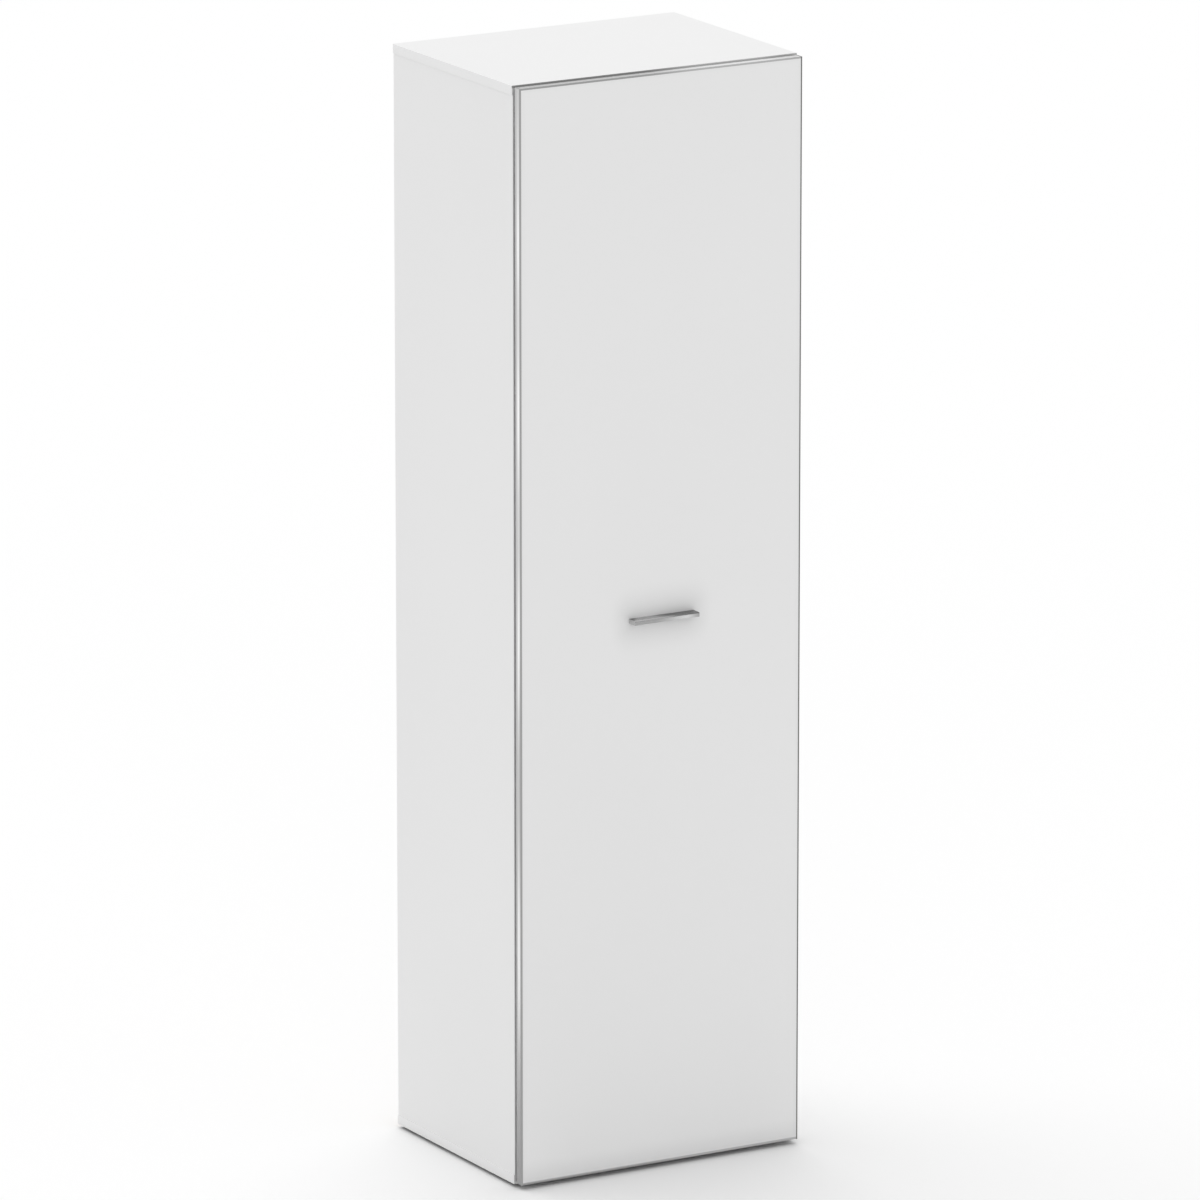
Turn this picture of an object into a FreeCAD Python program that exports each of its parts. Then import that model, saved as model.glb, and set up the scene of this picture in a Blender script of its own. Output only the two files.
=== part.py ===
import FreeCAD, Part
import os

V = FreeCAD.Vector
X, Y, Z = V(1, 0, 0), V(0, 1, 0), V(0, 0, 1)

# Carcass boards
BOARD = 16.0
PLATE_WIDTH = 540.0
PLATE_OVERHANG = 1.5
CARCASS_DEPTH = 400.0
CARCASS_HEIGHT = 1866.0
EDGE_BAND = 1.0

# Door board and the metal band round it
DOOR_THICKNESS = 16.0
DOOR_GAP = 5.0
DOOR_SIDE_REVEAL = 2.0
DOOR_TOP_REVEAL = 2.0
DOOR_BOTTOM_REVEAL = 2.5
DOOR_BAND = 3.0
DOOR_BAND_ROUND = 1.0

# Lip pull
HANDLE_LENGTH = 124.0
HANDLE_PROJECTION = 20.0
HANDLE_HEIGHT = 7.4
HANDLE_PLATE = 2.4
HANDLE_LIP = 2.8
HANDLE_ROUND = 2.2
HANDLE_EDGE_ROUND = 0.6
HANDLE_END_WALL = 3.0
HANDLE_ABOVE_MIDDLE = 13.25
HANDLE_HOLE_SPACING = 96.0
HANDLE_BOSS_WIDTH = 10.0
HANDLE_BOSS_DEPTH = 12.0
HANDLE_SCREW_RADIUS = 2.0
HANDLE_SCREW_BITE = 9.0
HANDLE_SCREW_HEAD_RADIUS = 4.0
HANDLE_SCREW_HEAD = 2.4

# Inside layout
TOP_BAY_HEIGHT = 300.0
SHELF_BAY_WIDTH = 240.0
HAT_SHELF_SETBACK = 2.0
SHELF_SETBACK = 20.0
SHELF_CLEARANCE = 1.0
SHELF_HEIGHT_SHARES = (0.26, 0.51, 0.76)

# Back panel in grooves, and the strip that joins its halves
BACK_THICKNESS = 3.0
BACK_INSET = 8.0
GROOVE_DEPTH = 6.0
GROOVE_CLEARANCE = 0.1
GROOVE_END_CLEARANCE = 0.5
JOINER_FLANGE = 1.0
JOINER_WEB = 1.0
JOINER_HEIGHT = 15.0
JOINER_END_CLEARANCE = 1.0

# Shelf supports and their rows of holes
SUPPORT_RADIUS = 2.5
SUPPORT_SHANK = 8.0
SUPPORT_TONGUE = 9.0
SUPPORT_WIDTH = 8.0
SUPPORT_THICKNESS = 2.5
SUPPORT_COLLAR = 1.5
SUPPORT_COLLAR_HEIGHT = 9.0
SUPPORT_INSET = 50.0
SUPPORT_PITCH = 32.0
SUPPORT_STEPS = (-2, -1, 0, 1, 2)

# Board joints: cam fittings and dowels
FITTING_INSET = 60.0
CAM_RADIUS = 7.4
CAM_CLEARANCE = 0.1
CAM_HEIGHT = 12.0
CAM_BORE_DEPTH = 12.5
CAM_DISTANCE = 34.0
CAP_RADIUS = 8.5
CAP_TOP_RADIUS = 7.9
CAP_HEIGHT = 1.0
BOLT_THREAD_RADIUS = 2.5
BOLT_THREAD_LENGTH = 11.0
BOLT_STEM_RADIUS = 3.5
BOLT_STEM_LENGTH = 24.0
BOLT_NECK_RADIUS = 2.2
BOLT_NECK_LENGTH = 7.0
BOLT_HEAD_LENGTH = 6.0
BOLT_BORE_RADIUS = 4.0
DOWEL_INSET = 140.0
DOWEL_RADIUS = 4.0
DOWEL_CLEARANCE = 0.05
DOWEL_IN_FACE = 11.0
DOWEL_IN_END = 19.0

# Broom rail and spring clips
RAIL_BELOW_HAT_SHELF = 186.0
RAIL_TALL = 80.0
RAIL_DOWEL_SPACING = 44.0
CLIP_SPACING = 120.0
CLIP_GRIP_RADIUS = 12.0
CLIP_SHEET = 1.2
CLIP_HEIGHT = 22.0
CLIP_BASE_WIDTH = 24.0
CLIP_MOUTH_REACH = 7.7
CLIP_SCREW_RADIUS = 2.0
CLIP_SCREW_BITE = 12.0
CLIP_SCREW_HEAD_RADIUS = 3.6
CLIP_SCREW_HEAD = 2.0

# Floor glides
GLIDE_HEIGHT = 6.0
GLIDE_RADIUS = 11.0
GLIDE_PIN_RADIUS = 2.0
GLIDE_PIN_LENGTH = 12.0
GLIDE_INSET = 40.0

# Concealed hinges
HINGE_HEIGHT_SHARES = (0.055, 0.352, 0.648, 0.945)
PIN_FROM_EDGE = 9.0
PIN_FROM_BACK = 8.5
PIN_RADIUS = 1.25
PIN_LENGTH = 17.0
PIN_CLEARANCE = 0.05
EYE_RADIUS = 2.6
CUP_FROM_EDGE = 4.0
CUP_RADIUS = 17.5
CUP_DEPTH = 12.5
CUP_WALL = 1.0
CUP_CLEARANCE = 0.1
CUP_FLANGE = 1.2
CUP_FLANGE_TALL = 58.0
CUP_FLANGE_WIDE = 21.0
CUP_FLANGE_OFFSET = 2.0
CUP_FLANGE_ROUND = 4.0
CUP_SCREW_SPACING = 45.0
CUP_SCREW_OFFSET = 6.0
CUP_SCREW_RADIUS = 1.75
CUP_SCREW_BITE = 10.0
CUP_SCREW_HEAD_RADIUS = 3.4
CUP_SCREW_HEAD = 1.2
EAR_GAP = 0.3
EAR_WIDTH = 6.4
ARM_SHEET = 2.3
ARM_NECK_WIDTH = 10.0
ARM_BODY_WIDTH = 16.0
ARM_CHEEK = 1.6
ARM_CHEEK_DEPTH = 4.2
ARM_NECK_REACH = 6.0
ARM_LENGTH = 64.0
ARM_BEND_ROUND = 2.0
PLATE_BASE = 2.0
PLATE_SPINE = 3.2
PLATE_SPINE_WIDTH = 12.0
PLATE_SPINE_START = 14.0
PLATE_WING_TALL = 50.0
PLATE_WING_WIDE = 14.0
PLATE_ROW = 37.0
PLATE_SCREW_SPACING = 32.0
PLATE_SCREW_RADIUS = 2.5
PLATE_SCREW_BITE = 12.0
PLATE_SCREW_HEAD_RADIUS = 4.0
PLATE_SCREW_HEAD = 1.6
CLAMP_FROM_FRONT = 50.0
CLAMP_RADIUS = 2.5
CLAMP_HEAD_RADIUS = 4.2
CLAMP_HEAD = 2.2
ADJUST_FROM_FRONT = 24.0

# Magnetic catch
CATCH_FROM_SIDE = 60.0
CATCH_WIDE = 48.0
CATCH_TALL = 14.0
CATCH_DEEP = 22.0
CATCH_REACH = 3.3
MAGNET_WIDE = 24.0
MAGNET_TALL = 8.0
MAGNET_DEEP = 10.0
CATCH_SCREW_SPACING = 36.0
CATCH_SCREW_RADIUS = 1.6
CATCH_SCREW_BITE = 10.0
CATCH_SCREW_HEAD_RADIUS = 3.2
CATCH_SCREW_HEAD = 1.8
STRIKE_WIDE = 40.0
STRIKE_TALL = 12.0
STRIKE_CLEARANCE = 0.3
STRIKE_SCREW_BITE = 9.0
BUMPER_RADIUS = 4.0
BUMPER_CLEARANCE = 0.3
BUMPER_FROM_END = 60.0

# Wall brackets in the top bay
BRACKET_SPACING = 300.0
BRACKET_LEG = 40.0
BRACKET_WIDTH = 20.0
BRACKET_SHEET = 2.0
BRACKET_HOLE_RADIUS = 3.0
BRACKET_HOLE_DROP = 24.0
BRACKET_SCREW_FROM_BACK = 26.0
BRACKET_SCREW_RADIUS = 2.0
BRACKET_SCREW_BITE = 12.0
BRACKET_SCREW_HEAD_RADIUS = 3.8
BRACKET_SCREW_HEAD = 2.2

# Every cut runs this far past the face it opens
CUT_OVERRUN = 1.0

# Planes across the width
HALF_WIDTH = PLATE_WIDTH / 2
SIDE_OUT = HALF_WIDTH - PLATE_OVERHANG
SIDE_IN = SIDE_OUT - BOARD
SIDE_MID = SIDE_OUT - BOARD / 2
DIVIDER_LEFT = SHELF_BAY_WIDTH - SIDE_IN
DIVIDER_RIGHT = DIVIDER_LEFT + BOARD
DIVIDER_MID = DIVIDER_LEFT + BOARD / 2
DOOR_RIGHT = HALF_WIDTH - DOOR_SIDE_REVEAL

# Planes through the depth, front at negative Y
TOTAL_DEPTH = HANDLE_PROJECTION + DOOR_THICKNESS + DOOR_GAP + CARCASS_DEPTH
DOOR_FRONT = HANDLE_PROJECTION - TOTAL_DEPTH / 2
DOOR_BACK = DOOR_FRONT + DOOR_THICKNESS
FRONT = DOOR_BACK + DOOR_GAP
BACK = FRONT + CARCASS_DEPTH
PANEL_BACK = BACK - BACK_INSET
PANEL_FRONT = PANEL_BACK - BACK_THICKNESS
SHELF_FRONT = FRONT + SHELF_SETBACK
FITTING_ROWS = (FRONT + FITTING_INSET, BACK - FITTING_INSET)
DOWEL_ROWS = (FRONT + DOWEL_INSET, BACK - DOWEL_INSET)
SUPPORT_ROWS = (SHELF_FRONT + SUPPORT_INSET, PANEL_FRONT - SUPPORT_INSET)

# Planes up the height
BASE = GLIDE_HEIGHT
TOP = BASE + CARCASS_HEIGHT
INSIDE_LOW = BASE + BOARD
INSIDE_HIGH = TOP - BOARD
HAT_HIGH = INSIDE_HIGH - TOP_BAY_HEIGHT
HAT_LOW = HAT_HIGH - BOARD
HAT_MID = HAT_LOW + BOARD / 2
RAIL_HIGH = HAT_LOW - RAIL_BELOW_HAT_SHELF
RAIL_LOW = RAIL_HIGH - RAIL_TALL
RAIL_MID = RAIL_LOW + RAIL_TALL / 2
SHELF_LEVELS = [INSIDE_LOW + share * (HAT_LOW - INSIDE_LOW) for share in SHELF_HEIGHT_SHARES]
DOOR_LOW = BASE + DOOR_BOTTOM_REVEAL
DOOR_HIGH = TOP - DOOR_TOP_REVEAL
HANDLE_MID = (DOOR_LOW + DOOR_HIGH) / 2 + HANDLE_ABOVE_MIDDLE
HINGE_LEVELS = [DOOR_LOW + share * (DOOR_HIGH - DOOR_LOW) for share in HINGE_HEIGHT_SHARES]

# Hinge places, measured in from the outer face of the side and out from the carcass front
PIN_IN = SIDE_OUT - DOOR_RIGHT + PIN_FROM_EDGE
PIN_OUT = DOOR_GAP + PIN_FROM_BACK
CUP_IN = SIDE_OUT - DOOR_RIGHT + CUP_FROM_EDGE + CUP_RADIUS
ARM_IN = BOARD + PLATE_BASE + PLATE_SPINE


def block(x, y, z):
    return Part.makeBox(x[1] - x[0], y[1] - y[0], z[1] - z[0], V(x[0], y[0], z[0]))


def rod(start, axis, radius, length):
    return Part.makeCylinder(radius, length, start, axis)


def drilled(shape, cuts):
    return shape.cut(cuts).Solids[0] if cuts else shape


def screw(seat, axis, radius, bite, head_radius, head):
    """Pan-head screw: its head stands back from the seat, its shank runs along the axis."""
    shank = rod(seat, axis, radius, bite)
    return shank.fuse(rod(seat - axis * head, axis, head_radius, head)).removeSplitter()


def flush_screw(seat, axis, radius, bite, head_radius, head):
    """Countersunk screw: the cone of its head lies below the seat."""
    cone = Part.makeCone(head_radius, radius, head, seat, axis)
    return cone.fuse(rod(seat + axis * head, axis, radius, bite)).removeSplitter()


# Board joints
def cam_fittings():
    """Face board, end board, where the bolt leaves the face board, its way, and the way to the cam."""
    places = []
    for row in FITTING_ROWS:
        for side, x in (("left_side", -SIDE_MID), ("right_side", SIDE_MID)):
            inward = X if x < 0 else -X
            places.append(("top_plate", side, V(x, row, INSIDE_HIGH), -Z, inward))
            places.append(("bottom_plate", side, V(x, row, INSIDE_LOW), Z, inward))
            wall = V(-SIDE_IN if x < 0 else SIDE_IN, row, HAT_MID)
            places.append((side, "hat_shelf", wall, inward, -Z))
    return places


def dowel_joints():
    """Face board, end board, where the dowel crosses the joint, and its way into the end board."""
    places = []
    for row in DOWEL_ROWS:
        for side, x in (("left_side", -SIDE_MID), ("right_side", SIDE_MID)):
            inward = X if x < 0 else -X
            places.append(("top_plate", side, V(x, row, INSIDE_HIGH), -Z))
            places.append(("bottom_plate", side, V(x, row, INSIDE_LOW), Z))
            wall = V(-SIDE_IN if x < 0 else SIDE_IN, row, HAT_MID)
            places.append((side, "hat_shelf", wall, inward))
        places.append(("bottom_plate", "divider", V(DIVIDER_MID, row, INSIDE_LOW), Z))
        places.append(("hat_shelf", "divider", V(DIVIDER_MID, row, HAT_LOW), -Z))
    for lift in (-RAIL_DOWEL_SPACING / 2, RAIL_DOWEL_SPACING / 2):
        level = RAIL_MID + lift
        depth = PANEL_FRONT - BOARD / 2
        places.append(("divider", "broom_rail", V(DIVIDER_RIGHT, depth, level), X))
        places.append(("right_side", "broom_rail", V(SIDE_IN, depth, level), -X))
    return places


def joint_holes(board):
    holes = []
    for face, end, point, axis, to_cam in cam_fittings():
        if face == board:
            holes.append(rod(point, -axis, BOLT_THREAD_RADIUS, BOLT_THREAD_LENGTH))
        if end == board:
            holes.append(rod(point, axis, BOLT_BORE_RADIUS, CAM_DISTANCE))
            mouth = point + axis * CAM_DISTANCE + to_cam * (BOARD / 2)
            holes.append(rod(mouth, -to_cam, CAM_RADIUS + CAM_CLEARANCE, CAM_BORE_DEPTH))
    for face, end, point, axis in dowel_joints():
        bore = DOWEL_RADIUS + DOWEL_CLEARANCE
        if face == board:
            holes.append(rod(point, -axis, bore, DOWEL_IN_FACE))
        if end == board:
            holes.append(rod(point, axis, bore, DOWEL_IN_END))
    return holes


def dowels():
    long = DOWEL_IN_FACE + DOWEL_IN_END
    starts = [(point - axis * DOWEL_IN_FACE, axis) for _, _, point, axis in dowel_joints()]
    return [rod(start, axis, DOWEL_RADIUS, long) for start, axis in starts]


def cam_bolt(point, axis):
    neck = point + axis * BOLT_STEM_LENGTH
    head = neck + axis * BOLT_NECK_LENGTH
    bolt = rod(point, -axis, BOLT_THREAD_RADIUS, BOLT_THREAD_LENGTH)
    bolt = bolt.fuse(rod(point, axis, BOLT_STEM_RADIUS, BOLT_STEM_LENGTH))
    bolt = bolt.fuse(rod(neck, axis, BOLT_NECK_RADIUS, BOLT_NECK_LENGTH))
    return bolt.fuse(rod(head, axis, BOLT_STEM_RADIUS, BOLT_HEAD_LENGTH)).removeSplitter()


def cam_lock(point, axis, to_cam):
    centre = point + axis * CAM_DISTANCE
    lock = rod(centre + to_cam * (BOARD / 2), -to_cam, CAM_RADIUS, CAM_HEIGHT)
    reach = CAM_RADIUS + CUT_OVERRUN
    channel = rod(centre - axis * reach, axis, BOLT_BORE_RADIUS, reach + BOLT_HEAD_LENGTH)
    return lock.cut(channel).Solids[0]


def cam_cap(point, axis, to_cam):
    seat = point + axis * CAM_DISTANCE + to_cam * (BOARD / 2)
    return Part.makeCone(CAP_RADIUS, CAP_TOP_RADIUS, CAP_HEIGHT, seat, to_cam)


# Carcass boards
def groove(x, z):
    return block(x, (PANEL_FRONT - GROOVE_CLEARANCE, PANEL_BACK + GROOVE_CLEARANCE), z)


def side_panel(board, sign):
    x = sorted((sign * SIDE_IN, sign * SIDE_OUT))
    panel = block(x, (FRONT + EDGE_BAND, BACK), (INSIDE_LOW, INSIDE_HIGH))
    floor = sign * (SIDE_IN + GROOVE_DEPTH)
    mouth = sign * (SIDE_IN - CUT_OVERRUN)
    ends = (INSIDE_LOW - CUT_OVERRUN, INSIDE_HIGH + CUT_OVERRUN)
    cuts = joint_holes(board) + [groove(sorted((floor, mouth)), ends)]
    if board == "left_side":
        cuts += support_holes(V(-SIDE_IN, 0, 0), -X)
    else:
        cuts += [plate_screw(place) for place in plate_screw_places()]
    return drilled(panel, cuts)


def end_plate(board, low):
    x = (EDGE_BAND - HALF_WIDTH, HALF_WIDTH - EDGE_BAND)
    plate = block(x, (FRONT + EDGE_BAND, BACK), (low, low + BOARD))
    reach = SIDE_IN + GROOVE_DEPTH
    if board == "top_plate":
        slot = (low - CUT_OVERRUN, low + GROOVE_DEPTH)
        holes = [bracket_screw(x_place) for x_place in bracket_places()]
    else:
        slot = (low + BOARD - GROOVE_DEPTH, low + BOARD + CUT_OVERRUN)
        holes = [glide(*place) for place in glide_places()]
    return drilled(plate, joint_holes(board) + [groove((-reach, reach), slot)] + holes)


def hat_shelf():
    rear = PANEL_FRONT - JOINER_FLANGE - GROOVE_CLEARANCE
    front = FRONT + HAT_SHELF_SETBACK + EDGE_BAND
    shelf = block((-SIDE_IN, SIDE_IN), (front, rear), (HAT_LOW, HAT_HIGH))
    return drilled(shelf, joint_holes("hat_shelf") + catch_screws())


def divider():
    y = (SHELF_FRONT + EDGE_BAND, PANEL_FRONT)
    board = block((DIVIDER_LEFT, DIVIDER_RIGHT), y, (INSIDE_LOW, HAT_LOW))
    return drilled(board, joint_holes("divider") + support_holes(V(DIVIDER_LEFT, 0, 0), X))


def loose_shelf(level):
    x = (SHELF_CLEARANCE - SIDE_IN, DIVIDER_LEFT - SHELF_CLEARANCE)
    return block(x, (SHELF_FRONT + EDGE_BAND, PANEL_FRONT - SHELF_CLEARANCE), (level, level + BOARD))


def front_edge_bands():
    """Thin grey bands on the front edges of the case, behind the door."""
    y = (FRONT, FRONT + EDGE_BAND)
    bands = []
    for low in (BASE, INSIDE_HIGH):
        bands.append(block((-HALF_WIDTH, HALF_WIDTH), y, (low, low + BOARD)))
    for x in ((-SIDE_OUT, -SIDE_IN), (SIDE_IN, SIDE_OUT)):
        bands.append(block(x, y, (INSIDE_LOW, INSIDE_HIGH)))
    return bands


def white_edge_bands():
    """Thin white bands on the ends of the two plates and the fronts of the boards inside."""
    inner = HALF_WIDTH - EDGE_BAND
    bands = []
    for low in (BASE, INSIDE_HIGH):
        for x in ((-HALF_WIDTH, -inner), (inner, HALF_WIDTH)):
            bands.append(block(x, (FRONT + EDGE_BAND, BACK), (low, low + BOARD)))
    hat = FRONT + HAT_SHELF_SETBACK
    bands.append(block((-SIDE_IN, SIDE_IN), (hat, hat + EDGE_BAND), (HAT_LOW, HAT_HIGH)))
    y = (SHELF_FRONT, SHELF_FRONT + EDGE_BAND)
    bands.append(block((DIVIDER_LEFT, DIVIDER_RIGHT), y, (INSIDE_LOW, HAT_LOW)))
    x = (SHELF_CLEARANCE - SIDE_IN, DIVIDER_LEFT - SHELF_CLEARANCE)
    return bands + [block(x, y, (level, level + BOARD)) for level in SHELF_LEVELS]


# Back panel
def back_half(upper):
    reach = SIDE_IN + GROOVE_DEPTH - GROOVE_END_CLEARANCE
    if upper:
        z = (HAT_MID + JOINER_WEB / 2, INSIDE_HIGH + GROOVE_DEPTH - GROOVE_END_CLEARANCE)
    else:
        z = (INSIDE_LOW - GROOVE_DEPTH + GROOVE_END_CLEARANCE, HAT_MID - JOINER_WEB / 2)
    panel = block((-reach, reach), (PANEL_FRONT, PANEL_BACK), z)
    return drilled(panel, [bracket_hole(place) for place in bracket_places()]) if upper else panel


def back_joiner():
    x = (JOINER_END_CLEARANCE - SIDE_IN, SIDE_IN - JOINER_END_CLEARANCE)
    z = (HAT_MID - JOINER_HEIGHT / 2, HAT_MID + JOINER_HEIGHT / 2)
    strip = block(x, (PANEL_FRONT - JOINER_FLANGE, PANEL_BACK + JOINER_FLANGE), z)
    long = (x[0] - CUT_OVERRUN, x[1] + CUT_OVERRUN)
    upper = groove(long, (HAT_MID + JOINER_WEB / 2, z[1] + CUT_OVERRUN))
    return strip.cut([upper, groove(long, (z[0] - CUT_OVERRUN, HAT_MID - JOINER_WEB / 2))])


# Shelf supports
def support_holes(face, inward):
    holes = []
    for level in SHELF_LEVELS:
        for step in SUPPORT_STEPS:
            lift = level - SUPPORT_RADIUS + step * SUPPORT_PITCH
            for row in SUPPORT_ROWS:
                holes.append(rod(V(face.x, row, lift), inward, SUPPORT_RADIUS, SUPPORT_SHANK))
    return holes


def shelf_support(x, row, level, out):
    """Plug in the side wall with a flat tongue under the shelf."""
    plug = rod(V(x, row, level - SUPPORT_RADIUS), X * -out, SUPPORT_RADIUS, SUPPORT_SHANK)
    y = (row - SUPPORT_WIDTH / 2, row + SUPPORT_WIDTH / 2)
    tongue = block(sorted((x, x + out * SUPPORT_TONGUE)), y, (level - SUPPORT_THICKNESS, level))
    collar_x = sorted((x, x + out * SUPPORT_COLLAR))
    collar = block(collar_x, y, (level - SUPPORT_COLLAR_HEIGHT, level))
    return plug.fuse([tongue, collar]).removeSplitter()


def shelf_supports():
    walls = ((-SIDE_IN, 1), (DIVIDER_LEFT, -1))
    supports = []
    for level in SHELF_LEVELS:
        for row in SUPPORT_ROWS:
            supports += [shelf_support(x, row, level, out) for x, out in walls]
    return supports


# Broom rail
def clip_places():
    middle = (DIVIDER_RIGHT + SIDE_IN) / 2
    shifts = (-CLIP_SPACING / 2, CLIP_SPACING / 2)
    return [V(middle + shift, PANEL_FRONT - BOARD, RAIL_MID) for shift in shifts]


def clip_screw(place):
    seat = place - Y * CLIP_SHEET
    return screw(seat, Y, CLIP_SCREW_RADIUS, CLIP_SCREW_BITE, CLIP_SCREW_HEAD_RADIUS, CLIP_SCREW_HEAD)


def broom_rail():
    y = (PANEL_FRONT - BOARD, PANEL_FRONT)
    rail = block((DIVIDER_RIGHT, SIDE_IN), y, (RAIL_LOW, RAIL_HIGH))
    return drilled(rail, joint_holes("broom_rail") + [clip_screw(place) for place in clip_places()])


def broom_clip(place):
    """Spring clip open to the front, bent from one strip round the broom stick."""
    low = place - Z * (CLIP_HEIGHT / 2)
    centre = low - Y * (CLIP_SHEET + CLIP_GRIP_RADIUS)
    ring = rod(centre, Z, CLIP_GRIP_RADIUS + CLIP_SHEET, CLIP_HEIGHT)
    wide = (place.x - CLIP_BASE_WIDTH / 2, place.x + CLIP_BASE_WIDTH / 2)
    z = (low.z, low.z + CLIP_HEIGHT)
    ring = ring.fuse(block(wide, (place.y - CLIP_SHEET, place.y), z))
    grip = rod(centre, Z, CLIP_GRIP_RADIUS, CLIP_HEIGHT)
    far = centre.y - CLIP_GRIP_RADIUS - CLIP_SHEET - CUT_OVERRUN
    mouth = block(wide, (far, centre.y - CLIP_MOUTH_REACH), z)
    return ring.cut([grip, mouth, clip_screw(place)]).removeSplitter()


# Floor glides
def glide_places():
    x = HALF_WIDTH - GLIDE_INSET
    return [(sign * x, y) for sign in (-1, 1) for y in (FRONT + GLIDE_INSET, BACK - GLIDE_INSET)]


def glide(x, y):
    foot = rod(V(x, y, 0), Z, GLIDE_RADIUS, GLIDE_HEIGHT)
    return foot.fuse(rod(V(x, y, GLIDE_HEIGHT), Z, GLIDE_PIN_RADIUS, GLIDE_PIN_LENGTH)).removeSplitter()


# Concealed hinges
def at_hinge(inward, outward, level):
    return V(SIDE_OUT - inward, FRONT - outward, level)


def hinge_block(inward, outward, level, width):
    x = (SIDE_OUT - inward[1], SIDE_OUT - inward[0])
    y = (FRONT - outward[1], FRONT - outward[0])
    return block(x, y, (level - width / 2, level + width / 2))


def plate_screw_places():
    places = []
    for level in HINGE_LEVELS:
        for shift in (-PLATE_SCREW_SPACING / 2, PLATE_SCREW_SPACING / 2):
            places.append(at_hinge(BOARD + PLATE_BASE, -PLATE_ROW, level + shift))
    return places


def plate_screw(place):
    head = PLATE_SCREW_HEAD
    return flush_screw(place, X, PLATE_SCREW_RADIUS, PLATE_SCREW_BITE, PLATE_SCREW_HEAD_RADIUS, head)


def clamp_screw(level):
    seat = at_hinge(ARM_IN + ARM_SHEET, -CLAMP_FROM_FRONT, level)
    return screw(seat, X, CLAMP_RADIUS, ARM_SHEET + PLATE_SPINE, CLAMP_HEAD_RADIUS, CLAMP_HEAD)


def adjust_screw(level):
    seat = at_hinge(ARM_IN + ARM_SHEET, -ADJUST_FROM_FRONT, level)
    return rod(seat, X, CLAMP_RADIUS, ARM_SHEET + PLATE_SPINE)


def hinge_plate(level):
    row = (-PLATE_ROW - PLATE_WING_WIDE / 2, -PLATE_ROW + PLATE_WING_WIDE / 2)
    base = (BOARD, BOARD + PLATE_BASE)
    spine_run = (-ARM_LENGTH, -PLATE_SPINE_START)
    plate = hinge_block(base, row, level, PLATE_WING_TALL)
    plate = plate.fuse(hinge_block((BOARD, ARM_IN), spine_run, level, PLATE_SPINE_WIDTH))
    near = [place for place in plate_screw_places() if abs(place.z - level) < PLATE_SCREW_SPACING]
    cuts = [plate_screw(place) for place in near] + [clamp_screw(level), adjust_screw(level)]
    return drilled(plate.removeSplitter(), cuts)


def hinge_arm(level):
    """Channel over the plate's spine, with a neck that reaches round to the pin inside the cup."""
    sheet = (ARM_IN, ARM_IN + ARM_SHEET)
    elbow = PIN_OUT + ARM_SHEET / 2
    neck = hinge_block(sheet, (-ARM_NECK_REACH, elbow), level, ARM_NECK_WIDTH)
    neck = neck.fuse(hinge_block((PIN_IN, sheet[1]), (elbow - ARM_SHEET, elbow), level, ARM_NECK_WIDTH))
    neck = neck.removeSplitter()
    bend = [e for e in neck.Edges if e.BoundBox.XMax < at_hinge(sheet[1], 0, 0).x + CUT_OVERRUN
            and e.BoundBox.YMax < at_hinge(0, elbow, 0).y + CUT_OVERRUN]
    neck = neck.makeFillet(ARM_BEND_ROUND, bend)
    low = level - ARM_NECK_WIDTH / 2
    neck = neck.fuse(rod(at_hinge(PIN_IN, PIN_OUT, low), Z, EYE_RADIUS, ARM_NECK_WIDTH))
    run = (-ARM_LENGTH, -ARM_NECK_REACH)
    arm = neck.fuse(hinge_block(sheet, run, level, ARM_BODY_WIDTH))
    middle = (ARM_BODY_WIDTH - ARM_CHEEK) / 2
    cheek = (ARM_IN - ARM_CHEEK_DEPTH + ARM_SHEET, ARM_IN)
    arm = arm.fuse([hinge_block(cheek, run, level + side, ARM_CHEEK) for side in (-middle, middle)])
    bore = rod(at_hinge(PIN_IN, PIN_OUT, low), Z, PIN_RADIUS + PIN_CLEARANCE, ARM_NECK_WIDTH)
    return drilled(arm.removeSplitter(), [bore, clamp_screw(level), adjust_screw(level)])


def hinge_pin(level):
    return rod(at_hinge(PIN_IN, PIN_OUT, level - PIN_LENGTH / 2), Z, PIN_RADIUS, PIN_LENGTH)


def cup_screws(level):
    shifts = (-CUP_SCREW_SPACING / 2, CUP_SCREW_SPACING / 2)
    seats = [at_hinge(CUP_IN + CUP_SCREW_OFFSET, DOOR_GAP - CUP_FLANGE, level + shift) for shift in shifts]
    head = (CUP_SCREW_HEAD_RADIUS, CUP_SCREW_HEAD)
    return [flush_screw(seat, -Y, CUP_SCREW_RADIUS, CUP_SCREW_BITE, *head) for seat in seats]


def cup_flange(level):
    middle = CUP_IN + CUP_FLANGE_OFFSET
    wide = (middle - CUP_FLANGE_WIDE / 2, middle + CUP_FLANGE_WIDE / 2)
    flange = hinge_block(wide, (DOOR_GAP - CUP_FLANGE, DOOR_GAP), level, CUP_FLANGE_TALL)
    corners = [e for e in flange.Edges if e.BoundBox.YLength > CUP_FLANGE / 2]
    flange = flange.makeFillet(CUP_FLANGE_ROUND, corners)
    return flange.fuse(rod(at_hinge(CUP_IN, DOOR_GAP - CUP_FLANGE, level), -Y, CUP_RADIUS, CUP_FLANGE))


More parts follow.
